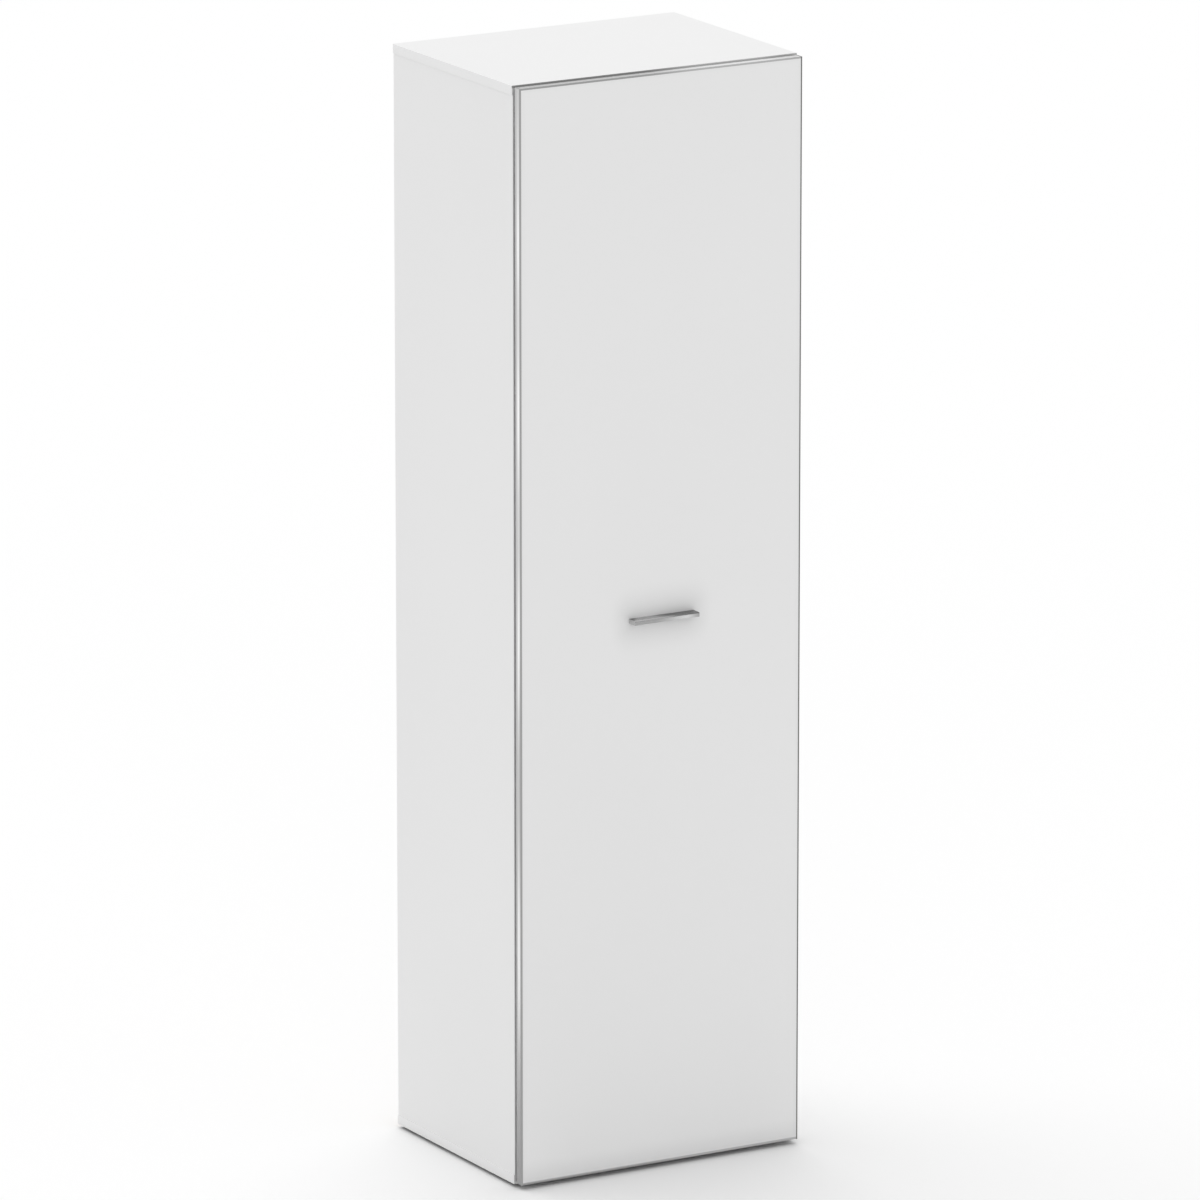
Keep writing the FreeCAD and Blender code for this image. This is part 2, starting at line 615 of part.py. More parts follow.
def hinge_cup(level):
    """Cup let into the door back, its flange, and two ears that hold the pin."""
    mouth = at_hinge(CUP_IN, DOOR_GAP - CUP_FLANGE, level)
    deep = CUP_DEPTH + CUP_FLANGE
    cup = cup_flange(level).fuse(rod(mouth, -Y, CUP_RADIUS, deep))
    hollow = rod(mouth, -Y, CUP_RADIUS - CUP_WALL, deep - CUP_WALL)
    cup = cup.removeSplitter().cut(hollow)
    ear_run = (PIN_OUT - EYE_RADIUS, DOOR_GAP + CUP_DEPTH - CUP_WALL)
    ear_wide = (PIN_IN - EAR_WIDTH / 2, PIN_IN + EAR_WIDTH / 2)
    slot = ARM_NECK_WIDTH + EAR_GAP * 2
    ears = hinge_block(ear_wide, ear_run, level, PIN_LENGTH)
    ears = ears.cut(hinge_block(ear_wide, ear_run, level, slot))
    cup = cup.fuse(ears.common(hollow)).removeSplitter()
    return drilled(cup, cup_screws(level) + [hinge_pin(level)])


# Door
def door_holes():
    cuts = []
    for level in HINGE_LEVELS:
        pocket = CUP_RADIUS + CUP_CLEARANCE
        cuts.append(rod(at_hinge(CUP_IN, DOOR_GAP, level), -Y, pocket, CUP_DEPTH + CUP_CLEARANCE))
        cuts += cup_screws(level)
    return cuts + handle_screws() + [strike_screw()]


def door_panel():
    x = (DOOR_BAND - DOOR_RIGHT, DOOR_RIGHT - DOOR_BAND)
    panel = block(x, (DOOR_FRONT, DOOR_BACK), (DOOR_LOW + DOOR_BAND, DOOR_HIGH - DOOR_BAND))
    return drilled(panel, door_holes())


def rounded_band(band, outward, ends):
    """Rounds the outer long edges of a door band, and its end corners where asked."""
    if outward.z:
        level = band.BoundBox.ZMax if outward.z > 0 else band.BoundBox.ZMin
        outer = [e for e in band.Edges if abs(e.CenterOfMass.z - level) < CUT_OVERRUN]
        edges = [e for e in outer if e.BoundBox.XLength > DOOR_THICKNESS]
    else:
        level = band.BoundBox.XMax if outward.x > 0 else band.BoundBox.XMin
        outer = [e for e in band.Edges if abs(e.CenterOfMass.x - level) < CUT_OVERRUN]
        edges = [e for e in outer if e.BoundBox.ZLength > DOOR_THICKNESS or ends]
    return band.makeFillet(DOOR_BAND_ROUND, edges)


def door_edges():
    y = (DOOR_FRONT, DOOR_BACK)
    inner = DOOR_RIGHT - DOOR_BAND
    tall = (DOOR_LOW, DOOR_HIGH)
    left = block((-DOOR_RIGHT, -inner), y, tall)
    right = block((inner, DOOR_RIGHT), y, tall)
    upper = block((-inner, inner), y, (DOOR_HIGH - DOOR_BAND, DOOR_HIGH))
    lower = block((-inner, inner), y, (DOOR_LOW, DOOR_LOW + DOOR_BAND))
    return {
        "door_edge_left": rounded_band(left, -X, True),
        "door_edge_right": rounded_band(right, X, True),
        "door_edge_top": rounded_band(upper, Z, False),
        "door_edge_bottom": rounded_band(lower, -Z, False),
    }


def handle_screws():
    shifts = (-HANDLE_HOLE_SPACING / 2, HANDLE_HOLE_SPACING / 2)
    bite = DOOR_THICKNESS + HANDLE_SCREW_BITE
    head = (HANDLE_SCREW_HEAD_RADIUS, HANDLE_SCREW_HEAD)
    return [screw(V(x, DOOR_BACK, HANDLE_MID), -Y, HANDLE_SCREW_RADIUS, bite, *head) for x in shifts]


def long_edges(bar, front):
    """Edges of the lip that run along the pull."""
    near = front + HANDLE_LIP + CUT_OVERRUN
    return [e for e in bar.Edges if e.BoundBox.XLength > HANDLE_HEIGHT and e.CenterOfMass.y < near]


def handle():
    """Cast pull with closed ends: a top plate, a rounded lip in front and a finger hollow below."""
    low = HANDLE_MID - HANDLE_HEIGHT / 2
    high = low + HANDLE_HEIGHT
    front = DOOR_FRONT - HANDLE_PROJECTION
    x = (-HANDLE_LENGTH / 2, HANDLE_LENGTH / 2)
    bar = block(x, (front, DOOR_FRONT), (low, high))
    bar = bar.makeFillet(HANDLE_ROUND, [e for e in long_edges(bar, front) if e.CenterOfMass.z > HANDLE_MID])
    under = low - CUT_OVERRUN
    hollow = block((x[0] + HANDLE_END_WALL, x[1] - HANDLE_END_WALL),
                   (front + HANDLE_LIP, DOOR_FRONT - HANDLE_LIP), (under, high - HANDLE_PLATE))
    bar = bar.cut(hollow)
    tips = [e for e in long_edges(bar, front) if e.CenterOfMass.z < low + HANDLE_EDGE_ROUND]
    bar = bar.makeFillet(HANDLE_EDGE_ROUND, tips)
    bosses = []
    for middle in (-HANDLE_HOLE_SPACING / 2, HANDLE_HOLE_SPACING / 2):
        wide = (middle - HANDLE_BOSS_WIDTH / 2, middle + HANDLE_BOSS_WIDTH / 2)
        bosses.append(block(wide, (DOOR_FRONT - HANDLE_BOSS_DEPTH, DOOR_FRONT), (low, high - HANDLE_PLATE)))
    return drilled(bar.fuse(bosses).removeSplitter(), handle_screws())


# Magnetic catch and bumpers
def catch_middle():
    return V(CATCH_FROM_SIDE - SIDE_IN, FRONT - CATCH_REACH, HAT_LOW - CATCH_TALL / 2)


def catch_screws():
    middle = catch_middle()
    seat = V(middle.x, middle.y + CATCH_DEEP / 2, HAT_LOW - CATCH_TALL)
    shifts = (-CATCH_SCREW_SPACING / 2, CATCH_SCREW_SPACING / 2)
    bite = CATCH_TALL + CATCH_SCREW_BITE
    head = (CATCH_SCREW_HEAD_RADIUS, CATCH_SCREW_HEAD)
    return [screw(seat + X * shift, Z, CATCH_SCREW_RADIUS, bite, *head) for shift in shifts]


def catch_magnet():
    middle = catch_middle()
    x = (middle.x - MAGNET_WIDE / 2, middle.x + MAGNET_WIDE / 2)
    z = (middle.z - MAGNET_TALL / 2, middle.z + MAGNET_TALL / 2)
    return block(x, (middle.y, middle.y + MAGNET_DEEP), z)


def catch_housing():
    middle = catch_middle()
    x = (middle.x - CATCH_WIDE / 2, middle.x + CATCH_WIDE / 2)
    case = block(x, (middle.y, middle.y + CATCH_DEEP), (HAT_LOW - CATCH_TALL, HAT_LOW))
    return drilled(case, [catch_magnet()] + catch_screws())


def strike_thickness():
    return DOOR_GAP - CATCH_REACH - STRIKE_CLEARANCE


def strike_screw():
    seat = catch_middle()
    seat.y = DOOR_BACK + strike_thickness()
    head = (CUP_SCREW_HEAD_RADIUS, CUP_SCREW_HEAD)
    return flush_screw(seat, -Y, CUP_SCREW_RADIUS, STRIKE_SCREW_BITE, *head)


def catch_strike():
    middle = catch_middle()
    x = (middle.x - STRIKE_WIDE / 2, middle.x + STRIKE_WIDE / 2)
    z = (middle.z - STRIKE_TALL / 2, middle.z + STRIKE_TALL / 2)
    return drilled(block(x, (DOOR_BACK, DOOR_BACK + strike_thickness()), z), [strike_screw()])


def door_bumpers():
    levels = (DOOR_LOW + BUMPER_FROM_END, DOOR_HIGH - BUMPER_FROM_END)
    thick = DOOR_GAP - BUMPER_CLEARANCE
    return [rod(V(-SIDE_MID, DOOR_BACK, level), Y, BUMPER_RADIUS, thick) for level in levels]


# Wall brackets
def bracket_places():
    return (-BRACKET_SPACING / 2, BRACKET_SPACING / 2)


def bracket_hole(x):
    start = V(x, PANEL_FRONT - BRACKET_SHEET, INSIDE_HIGH - BRACKET_HOLE_DROP)
    return rod(start, Y, BRACKET_HOLE_RADIUS, BRACKET_SHEET + BACK_THICKNESS)


def bracket_screw(x):
    seat = V(x, PANEL_FRONT - BRACKET_SCREW_FROM_BACK, INSIDE_HIGH - BRACKET_SHEET)
    head = (BRACKET_SCREW_HEAD_RADIUS, BRACKET_SCREW_HEAD)
    return screw(seat, Z, BRACKET_SCREW_RADIUS, BRACKET_SCREW_BITE, *head)


def wall_bracket(x):
    wide = (x - BRACKET_WIDTH / 2, x + BRACKET_WIDTH / 2)
    sheet = (INSIDE_HIGH - BRACKET_SHEET, INSIDE_HIGH)
    leg = (INSIDE_HIGH - BRACKET_LEG, INSIDE_HIGH)
    flat = block(wide, (PANEL_FRONT - BRACKET_LEG, PANEL_FRONT), sheet)
    upright = block(wide, (PANEL_FRONT - BRACKET_SHEET, PANEL_FRONT), leg)
    return drilled(flat.fuse(upright).removeSplitter(), [bracket_hole(x), bracket_screw(x)])


def parts():
    """Every node of the cupboard: one solid each, or a group of like solids."""
    fittings = [(point, axis, to_cam) for _, _, point, axis, to_cam in cam_fittings()]
    nodes = {
        "left_side": side_panel("left_side", -1),
        "right_side": side_panel("right_side", 1),
        "top_plate": end_plate("top_plate", INSIDE_HIGH),
        "bottom_plate": end_plate("bottom_plate", BASE),
        "hat_shelf": hat_shelf(),
        "divider": divider(),
        "front_edge_bands": front_edge_bands(),
        "white_edge_bands": white_edge_bands(),
        "back_upper": back_half(True),
        "back_lower": back_half(False),
        "back_joiner": back_joiner(),
        "shelf_supports": shelf_supports(),
        "broom_rail": broom_rail(),
        "broom_clips": [broom_clip(place) for place in clip_places()],
        "broom_clip_screws": [clip_screw(place) for place in clip_places()],
        "dowels": dowels(),
        "cam_bolts": [cam_bolt(point, axis) for point, axis, _ in fittings],
        "cam_locks": [cam_lock(*fitting) for fitting in fittings],
        "cam_caps": [cam_cap(*fitting) for fitting in fittings],
        "floor_glides": [glide(*place) for place in glide_places()],
        "hinge_plate_screws": [plate_screw(place) for place in plate_screw_places()],
        "hinge_clamp_screws": [clamp_screw(level) for level in HINGE_LEVELS],
        "hinge_adjust_screws": [adjust_screw(level) for level in HINGE_LEVELS],
        "hinge_pins": [hinge_pin(level) for level in HINGE_LEVELS],
        "hinge_cup_screws": [piece for level in HINGE_LEVELS for piece in cup_screws(level)],
        "catch_housing": catch_housing(),
        "catch_magnet": catch_magnet(),
        "catch_screws": catch_screws(),
        "catch_strike": catch_strike(),
        "strike_screw": strike_screw(),
        "wall_brackets": [wall_bracket(x) for x in bracket_places()],
        "wall_bracket_screws": [bracket_screw(x) for x in bracket_places()],
        "door_panel": door_panel(),
        "door_handle": handle(),
        "handle_screws": handle_screws(),
        "door_bumpers": door_bumpers(),
    }
    nodes.update(door_edges())
    for name, level in zip(("lower", "middle", "upper"), SHELF_LEVELS):
        nodes["shelf_" + name] = loose_shelf(level)
    for number, level in enumerate(HINGE_LEVELS, 1):
        nodes["hinge_plate_%d" % number] = hinge_plate(level)
        nodes["hinge_arm_%d" % number] = hinge_arm(level)
        nodes["hinge_cup_%d" % number] = hinge_cup(level)
    return nodes


def main():
    os.makedirs("parts", exist_ok=True)
    for name, shape in parts().items():
        solid = Part.makeCompound(shape) if isinstance(shape, list) else shape
        solid.exportStep("parts/" + name + ".step")
        print(name, len(solid.Solids), solid.isValid(), round(solid.Volume))


if __name__ == "__main__":
    main()
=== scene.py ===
# %% [markdown]
# # A tall white broom cupboard
# This lesson dresses a finished CAD model for its picture. The cupboard is a plain case
# of white-faced boards with one tall door, a thin metal-look band round the door and a
# small lip pull. The CAD file already holds every board and fitting at its true size, so
# Blender adds only what a drawing lacks: light, finishes, and small pieces with softer
# edges. The model loads as a fixed frame, in metres, and nothing in it is moved.

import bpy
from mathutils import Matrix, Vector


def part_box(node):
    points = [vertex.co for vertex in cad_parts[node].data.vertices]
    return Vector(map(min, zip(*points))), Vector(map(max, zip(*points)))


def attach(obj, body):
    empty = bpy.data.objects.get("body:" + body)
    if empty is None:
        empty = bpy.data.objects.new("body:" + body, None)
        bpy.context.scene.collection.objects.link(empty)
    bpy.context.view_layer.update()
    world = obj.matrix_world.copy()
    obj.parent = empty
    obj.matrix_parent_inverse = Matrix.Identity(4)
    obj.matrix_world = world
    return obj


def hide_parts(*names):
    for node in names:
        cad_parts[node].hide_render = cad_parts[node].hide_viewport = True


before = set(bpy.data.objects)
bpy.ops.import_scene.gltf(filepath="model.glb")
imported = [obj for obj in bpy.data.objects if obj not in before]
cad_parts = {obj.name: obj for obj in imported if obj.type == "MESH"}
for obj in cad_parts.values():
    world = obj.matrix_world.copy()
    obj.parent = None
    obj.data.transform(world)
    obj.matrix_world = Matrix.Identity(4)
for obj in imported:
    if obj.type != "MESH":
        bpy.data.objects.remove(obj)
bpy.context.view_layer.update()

# %% [markdown]
# ## Camera
# The picture looks down a little on the cupboard's left front corner from far away, with
# a long lens, so its upright edges stay nearly parallel. The camera could be placed by
# eye, but the corners of the case give its angles: it is placed by a compass angle, a
# height angle and a distance from one point in the plane of the case's front.

# %% Place the camera
import math
import bpy
from mathutils import Vector

LOOK_AT = Vector((-0.10483, -0.1795, 0.98933))
COMPASS, HEIGHT_ANGLE, DISTANCE = math.radians(-30.004), math.radians(14.227), 18.3129
LENS, SENSOR, FAR_CLIP = 332.70, 36.0, 200.0

scene = bpy.context.scene
scene.view_settings.view_transform = "Standard"
eye = bpy.data.objects.new("picture_camera", bpy.data.cameras.new("picture_camera"))
scene.collection.objects.link(eye)
eye.data.lens, eye.data.sensor_width, eye.data.clip_end = LENS, SENSOR, FAR_CLIP
flat = math.cos(HEIGHT_ANGLE)
away = Vector((math.sin(COMPASS) * flat, -math.cos(COMPASS) * flat, math.sin(HEIGHT_ANGLE)))
eye.location = LOOK_AT + away * DISTANCE
eye.rotation_euler = away.to_track_quat("Z", "Y").to_euler()
scene.camera = eye
print("camera at", [round(v, 3) for v in eye.location])

# %% [markdown]
# ## Writing finishes as sums
# Every finish is a small web of shader nodes. Wiring them one by one hides the idea, so
# one class wraps a socket and lets Python's own signs add the Math nodes, and one method
# makes any other node: its type, then its settings, then what goes into its sockets.

# %% A socket that takes part in sums
class Value:
    def __init__(self, finish, socket):
        self.finish, self.socket = finish, socket

    def sum(self, operation, first, second=0.0):
        return self.finish.node("ShaderNodeMath", {"operation": operation}, {0: first, 1: second})

    def __add__(self, other):
        return self.sum("ADD", self, other)

    def __radd__(self, other):
        return self.sum("ADD", other, self)

    def __sub__(self, other):
        return self.sum("SUBTRACT", self, other)

    def __rsub__(self, other):
        return self.sum("SUBTRACT", other, self)

    def __mul__(self, other):
        return self.sum("MULTIPLY", self, other)

    def __rmul__(self, other):
        return self.sum("MULTIPLY", other, self)

    def __lt__(self, other):
        return self.sum("LESS_THAN", self, other)

    def __gt__(self, other):
        return self.sum("GREATER_THAN", self, other)

    def __abs__(self):
        return self.sum("ABSOLUTE", self)

    def or_more(self, other):
        return self.sum("MAXIMUM", self, other)

    def root(self):
        return self.sum("SQRT", self)

    def cosine(self):
        return self.sum("COSINE", self)


# %% A finish: one material and its nodes
class Finish:
    def __init__(self, name):
        self.material = bpy.data.materials.new(name)
        self.material.use_nodes = True
        self.tree = self.material.node_tree
        self.shader = next(n for n in self.tree.nodes if n.type == "BSDF_PRINCIPLED")

    def node(self, kind, settings, sockets, output=0):
        made = self.tree.nodes.new(kind)
        for key, value in settings.items():
            if key == "stops":
                made_stops = made.color_ramp.elements
                while len(made_stops) < len(value):
                    made_stops.new(1.0)
                for stop, (place, colour) in zip(made_stops, value):
                    stop.position, stop.color = place, colour
            else:
                setattr(made, key, value)
        for key, value in sockets.items():
            self.feed(made.inputs[key], value)
        return Value(self, made.outputs[output])

    def feed(self, socket, value):
        if isinstance(value, Value):
            self.tree.links.new(value.socket, socket)
        else:
            socket.default_value = value

    def coat(self, **sockets):
        for key, value in sockets.items():
            self.feed(self.shader.inputs[key.replace("_", " ")], value)


# %% Places on a piece
def span(node, axis):
    return [corner["XYZ".index(axis)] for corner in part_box(node)]


def place_on(finish, scale=(1.0, 1.0, 1.0), shift=(0.0, 0.0, 0.0)):
    where = finish.node("ShaderNodeTexCoord", {}, {}, "Object")
    sockets = {"Vector": where, "Scale": scale, "Location": shift}
    return finish.node("ShaderNodeMapping", {"vector_type": "POINT"}, sockets)


def along(finish, axis):
    where = finish.node("ShaderNodeTexCoord", {}, {}, "Object")
    return finish.node("ShaderNodeSeparateXYZ", {}, {"Vector": where}, axis)


def past_ends(finish, node, axis):
    low, high = span(node, axis)
    return abs(along(finish, axis) - (low + high) / 2) - (high - low) / 2


def fade(finish, value, start, end):
    sockets = {"Value": value, "From Min": start, "From Max": end}
    return finish.node("ShaderNodeMapRange", {"interpolation_type": "SMOOTHSTEP"}, sockets)


# %% Patterns and tones that the finishes share
MIX_FACTOR, MIX_LOW, MIX_HIGH, MIX_RESULT = 0, 6, 7, 2


def grey(level, warm=0.0):
    return (level * (1 + warm), level, level * (1 - warm), 1.0)


def noise(finish, where, per_metre, detail=2.0, roughness=0.5):
    sockets = {"Vector": where, "Scale": per_metre, "Detail": detail, "Roughness": roughness}
    return finish.node("ShaderNodeTexNoise", {}, sockets)


def blend_colour(finish, mask, low, high, way="MIX"):
    sockets = {MIX_FACTOR: mask, MIX_LOW: low, MIX_HIGH: high}
    return finish.node("ShaderNodeMix", {"data_type": "RGBA", "blend_type": way}, sockets, MIX_RESULT)


def mottle(finish, mask, tone, spread):
    return blend_colour(finish, mask, grey(tone * (1 - spread)), grey(tone * (1 + spread)))


def ramp(finish, stops, value):
    return finish.node("ShaderNodeValToRGB", {"stops": stops}, {"Fac": value})


def relief(finish, height, depth):
    return finish.node("ShaderNodeBump", {}, {"Height": height, "Distance": depth})


def dress(finish, *nodes):
    for name in nodes:
        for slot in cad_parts[name].material_slots:
            slot.material = finish.material
    print(finish.material.name, "on", len(nodes), "nodes")


# %% [markdown]
# ## Floor and light
# The cupboard stands on a white sweep with soft light all round, so the background stays
# white and only the floor near it is shaded. One even sky could do that alone, but then
# every face has one tone. So the sky gives three quarters of the light, a wide soft key
# from above and behind lights the top and throws the shade forwards, and a low weak fill
# lifts the door. Sun lamps with a wide angle are used, because they light the whole floor
# evenly. The floor bounces a little less light than it shows to the camera.

# %% Sweep and sky
import bmesh

FLOOR_REACH, FLOOR_SQUARES = 40.0, 8
FLOOR_BOUNCE, FLOOR_SHOWN, SKY_LEVEL = 0.87, 0.945, 0.78
floor_mesh = bpy.data.meshes.new("floor")
sheet = bmesh.new()
bmesh.ops.create_grid(sheet, x_segments=FLOOR_SQUARES, y_segments=FLOOR_SQUARES, size=FLOOR_REACH)
sheet.to_mesh(floor_mesh)
sheet.free()
floor = bpy.data.objects.new("floor", floor_mesh)
scene.collection.objects.link(floor)

sweep = Finish("white_sweep")
seen = [sweep.node("ShaderNodeLightPath", {}, {}, ray) for ray in ("Is Camera Ray", "Is Glossy Ray")]
sweep.coat(Base_Color=blend_colour(sweep, seen[0] + seen[1], grey(FLOOR_BOUNCE), grey(FLOOR_SHOWN)),
           Roughness=1.0, Specular_IOR_Level=0.0)
floor_mesh.materials.append(sweep.material)

sky = bpy.data.worlds.new("even_white_sky")
scene.world = sky
sky.use_nodes = True
glow = next(n for n in sky.node_tree.nodes if n.type == "BACKGROUND")
glow.inputs["Color"].default_value = grey(1.0)
glow.inputs["Strength"].default_value = SKY_LEVEL
print("floor", FLOOR_REACH * 2, "m wide, sky level", SKY_LEVEL)

# %% Soft key and low fill
# each lamp: where its light comes from, its strength, its spread in degrees
LAMPS = {"soft_key": ((0.03, 0.52, 0.85), 0.97, 65), "low_fill": ((-0.50, -0.85, 0.10), 0.30, 50)}
for name, (source, level, spread) in LAMPS.items():
    lamp = bpy.data.objects.new(name, bpy.data.lights.new(name, "SUN"))
    scene.collection.objects.link(lamp)
    lamp.data.energy, lamp.data.angle = level, math.radians(spread)
    lamp.rotation_euler = Vector(source).to_track_quat("Z", "Y").to_euler()
    print(name, "from", source, "spread", spread, "degrees")

# %% [markdown]
# ## White-faced boards
# The case is made of chipboard with a thin white facing on its two broad faces. The
# facing is even and slightly silky, with a fine pebbled skin. Cut edges and drilled holes
# show the chips inside. A picture of chipboard could be wrapped on, but each board's own
# thickness tells the two apart: what lies between the two faces is raw. The face under the
# bottom plate, which nobody sees, has only dark backing paper, which also deepens the shade
# on the floor under the case, and the broom rail's edges are sealed with white paint. On the
# door, painted shade greys the face round the pull, along the door's own edges and towards
# its foot, and a thin dark line runs along its joint with the foot band: distances from the
# pull, the door's own edge and its foot say how much.

# %% Chips of a cut edge
CHIPS_PER_METRE, FLECKS_PER_METRE, CHIPS_FLAT = 240.0, 900.0, (1.0, 1.0, 1.7)
CHIP_BROWNS = [(0.0, (0.17, 0.095, 0.045, 1)), (0.5, (0.36, 0.235, 0.13, 1)),
               (1.0, (0.55, 0.41, 0.26, 1))]


def raw_chips(finish):
    cells = {"Vector": place_on(finish, CHIPS_FLAT), "Scale": CHIPS_PER_METRE}
    chip = finish.node("ShaderNodeTexVoronoi", {"feature": "F1"}, cells, "Color")
    tint = finish.node("ShaderNodeSeparateColor", {}, {"Color": chip})
    fleck = noise(finish, place_on(finish), FLECKS_PER_METRE, 4.0, 0.7)
    return ramp(finish, CHIP_BROWNS, tint * 0.6 + fleck * 0.4), tint + fleck


# %% Faced board finish
MM = 0.001
FACING, CHIP_HEIGHT, PEBBLE_SHARE = 0.12 * MM, 0.15 * MM, 0.12
CLOUDS_PER_METRE, PEBBLES_PER_METRE, CLOUDING = 2.5, 850.0, 0.015
OWN_START = (7.0, 13.0, 29.0)


def faced_board(node, axis, tone, gloss, low_tone=None, low_mask=None, sealed=False):
    finish = Finish("board_" + node)
    low, high = span(node, axis)
    raw = past_ends(finish, node, axis) < (low - high if sealed else -FACING)
    here = place_on(finish, shift=tuple((high * start) % 1.0 for start in OWN_START))
    clouds, pebble = noise(finish, here, CLOUDS_PER_METRE, 3.0), noise(finish, here, PEBBLES_PER_METRE)
    facing = mottle(finish, clouds, tone, CLOUDING)
    if low_tone is not None:
        covered = along(finish, axis) < low + FACING
        covered = low_mask(finish) * covered if low_mask else covered
        facing = blend_colour(finish, covered, facing, grey(low_tone))
    wood, rough_wood = raw_chips(finish)
    rougher = 0.5 - gloss * 0.2
    finish.coat(Base_Color=blend_colour(finish, raw, facing, wood),
                Roughness=gloss + pebble * 0.08 + raw * rougher,
                Normal=relief(finish, pebble * (1 - raw) * PEBBLE_SHARE + rough_wood * raw, CHIP_HEIGHT))
    return finish


# %% Painted shade on the door
PULL_SHADE_REACH, EDGE_SHADE_REACH, FOOT_SHADE_REACH, LINE_REACH = 60 * MM, 10 * MM, 40 * MM, 1.8 * MM
PULL_SHADE, EDGE_SHADE, FOOT_SHADE, LINE = 0.09, 0.025, 0.09, 0.30
PULL_SHADE_TALL, LINE_SOLID = 2.2, 0.6


def door_painted_shade(finish):
    beside, above = (past_ends(finish, "door_handle", axis).or_more(0.0) for axis in "XZ")
    from_pull = (beside * beside * PULL_SHADE_TALL + above * above).root()
    sideways, upwards = (past_ends(finish, "door_panel", axis) for axis in "XZ")
    foot, z = span("door_panel", "Z")[0], along(finish, "Z")
    # painted shade: darker round the pull, along the door's own edges and towards its foot
    pull_shade = fade(finish, from_pull, PULL_SHADE_REACH, 0.0) * PULL_SHADE
    edge_shade = fade(finish, sideways.or_more(upwards), -EDGE_SHADE_REACH, 0.0) * EDGE_SHADE
    foot_shade = fade(finish, z, foot + FOOT_SHADE_REACH, foot) * FOOT_SHADE
    joint_line = fade(finish, z, foot + LINE_REACH, foot + LINE_REACH * LINE_SOLID) * LINE
    return pull_shade + foot_shade + joint_line + edge_shade


# %% Dress the boards
CASE_TONE, DOOR_TONE, BACKING_AND_SHADE_TONE, DOOR_SHADE_TONE = 0.83, 0.835, 0.07, 0.0
CASE_GLOSS, DOOR_GLOSS = 0.40, 0.34
LOOSE_SHELVES = ("shelf_lower", "shelf_middle", "shelf_upper")
for node in ("left_side", "right_side", "divider"):
    dress(faced_board(node, "X", CASE_TONE, CASE_GLOSS), node)
for node in ("top_plate", "hat_shelf", *LOOSE_SHELVES):
    dress(faced_board(node, "Z", CASE_TONE, CASE_GLOSS), node)
# the dark backing under the bottom plate also deepens the shade on the floor under the case
dress(faced_board("bottom_plate", "Z", CASE_TONE, CASE_GLOSS, BACKING_AND_SHADE_TONE), "bottom_plate")
dress(faced_board("broom_rail", "Y", CASE_TONE, CASE_GLOSS, sealed=True), "broom_rail")
dress(faced_board("door_panel", "Y", DOOR_TONE, DOOR_GLOSS, DOOR_SHADE_TONE, door_painted_shade), "door_panel")

# %% [markdown]
# ## Hardboard back
# The back is thin hardboard in two halves, painted white. The inner face is smooth. The
# rear keeps the print of the wire screen it was pressed on, and a thinner coat that lets
# some brown fibre through. Two crossed wave patterns make the print, and the depth
# coordinate chooses between the two faces.

# %% Hardboard finish
SCREEN_PITCH, WAVE_SCALE, SCREEN_DEPTH = 1.6 * MM, 0.314, 0.25 * MM
FIBRES_PER_METRE, FIBRES_LONG, BLOTCHES_PER_METRE = 420.0, (1.0, 1.0, 0.35), 6.0
FIBRE_BROWNS = [(0.2, (0.115, 0.062, 0.030, 1)), (0.8, (0.285, 0.175, 0.092, 1))]
PAINT_LOW, PAINT_HIGH, REAR_TONE, REAR_WARMTH = 0.80, 0.83, 0.80, 0.004
THIN_FROM, THIN_BY, THINNEST = 0.62, 0.86, 0.5


def hardboard():
    finish = Finish("painted_hardboard")
    fibre_side = along(finish, "Y") > span("back_lower", "Y")[0] + FACING
    here = place_on(finish)
    fibres = noise(finish, place_on(finish, FIBRES_LONG), FIBRES_PER_METRE, 5.0, 0.65)
    blotch = noise(finish, here, BLOTCHES_PER_METRE, 3.0)
    turns = {"Scale": WAVE_SCALE / SCREEN_PITCH, "Distortion": 0.4, "Detail": 1.0, "Vector": here}
    wires = [finish.node("ShaderNodeTexWave", {"bands_direction": way}, turns, "Fac") for way in "XZ"]
    brown = ramp(finish, FIBRE_BROWNS, fibres * 0.7 + blotch * 0.3)
    paint = blend_colour(finish, blotch, grey(PAINT_LOW), grey(PAINT_HIGH))
    screen = wires[0] * wires[1]
    thin_coat = fade(finish, fibres + blotch * 0.3 - screen * 0.2, THIN_FROM, THIN_BY) * THINNEST
    rear_coat = blend_colour(finish, thin_coat, grey(REAR_TONE, REAR_WARMTH), brown)
    height = fibre_side * (screen * 0.7 + fibres) + fibres * 0.05
    finish.coat(Base_Color=blend_colour(finish, fibre_side, paint, rear_coat),
                Roughness=0.45 + fibre_side * 0.35 + fibres * 0.08,
                Normal=relief(finish, height, SCREEN_DEPTH))
    return finish


dress(hardboard(), "back_upper", "back_lower")

# %% [markdown]
# ## White plastic
# Edge bands, cam covers, the catch and the strip that joins the back halves are white
# plastic. Extruded bands are smoother than moulded caps, so one recipe makes both, with
# the grain and gloss as its values.

# %% Plastic finish
TINTS_PER_METRE, SKIN_PER_METRE, TINTING = 14.0, 1400.0, 0.02


def white_plastic(name, tone, gloss, grain):
    finish = Finish(name)
    tints = noise(finish, place_on(finish), TINTS_PER_METRE)
    skin = noise(finish, place_on(finish), SKIN_PER_METRE)
    finish.coat(Base_Color=mottle(finish, tints, tone, TINTING), Roughness=gloss + skin * 0.1,
                Normal=relief(finish, skin, grain * MM))
    return finish


band_white = white_plastic("white_band", 0.83, 0.32, 0.01)
moulded_white = white_plastic("moulded_white", 0.80, 0.42, 0.03)
dress(moulded_white, "back_joiner", "catch_housing", "cam_caps")
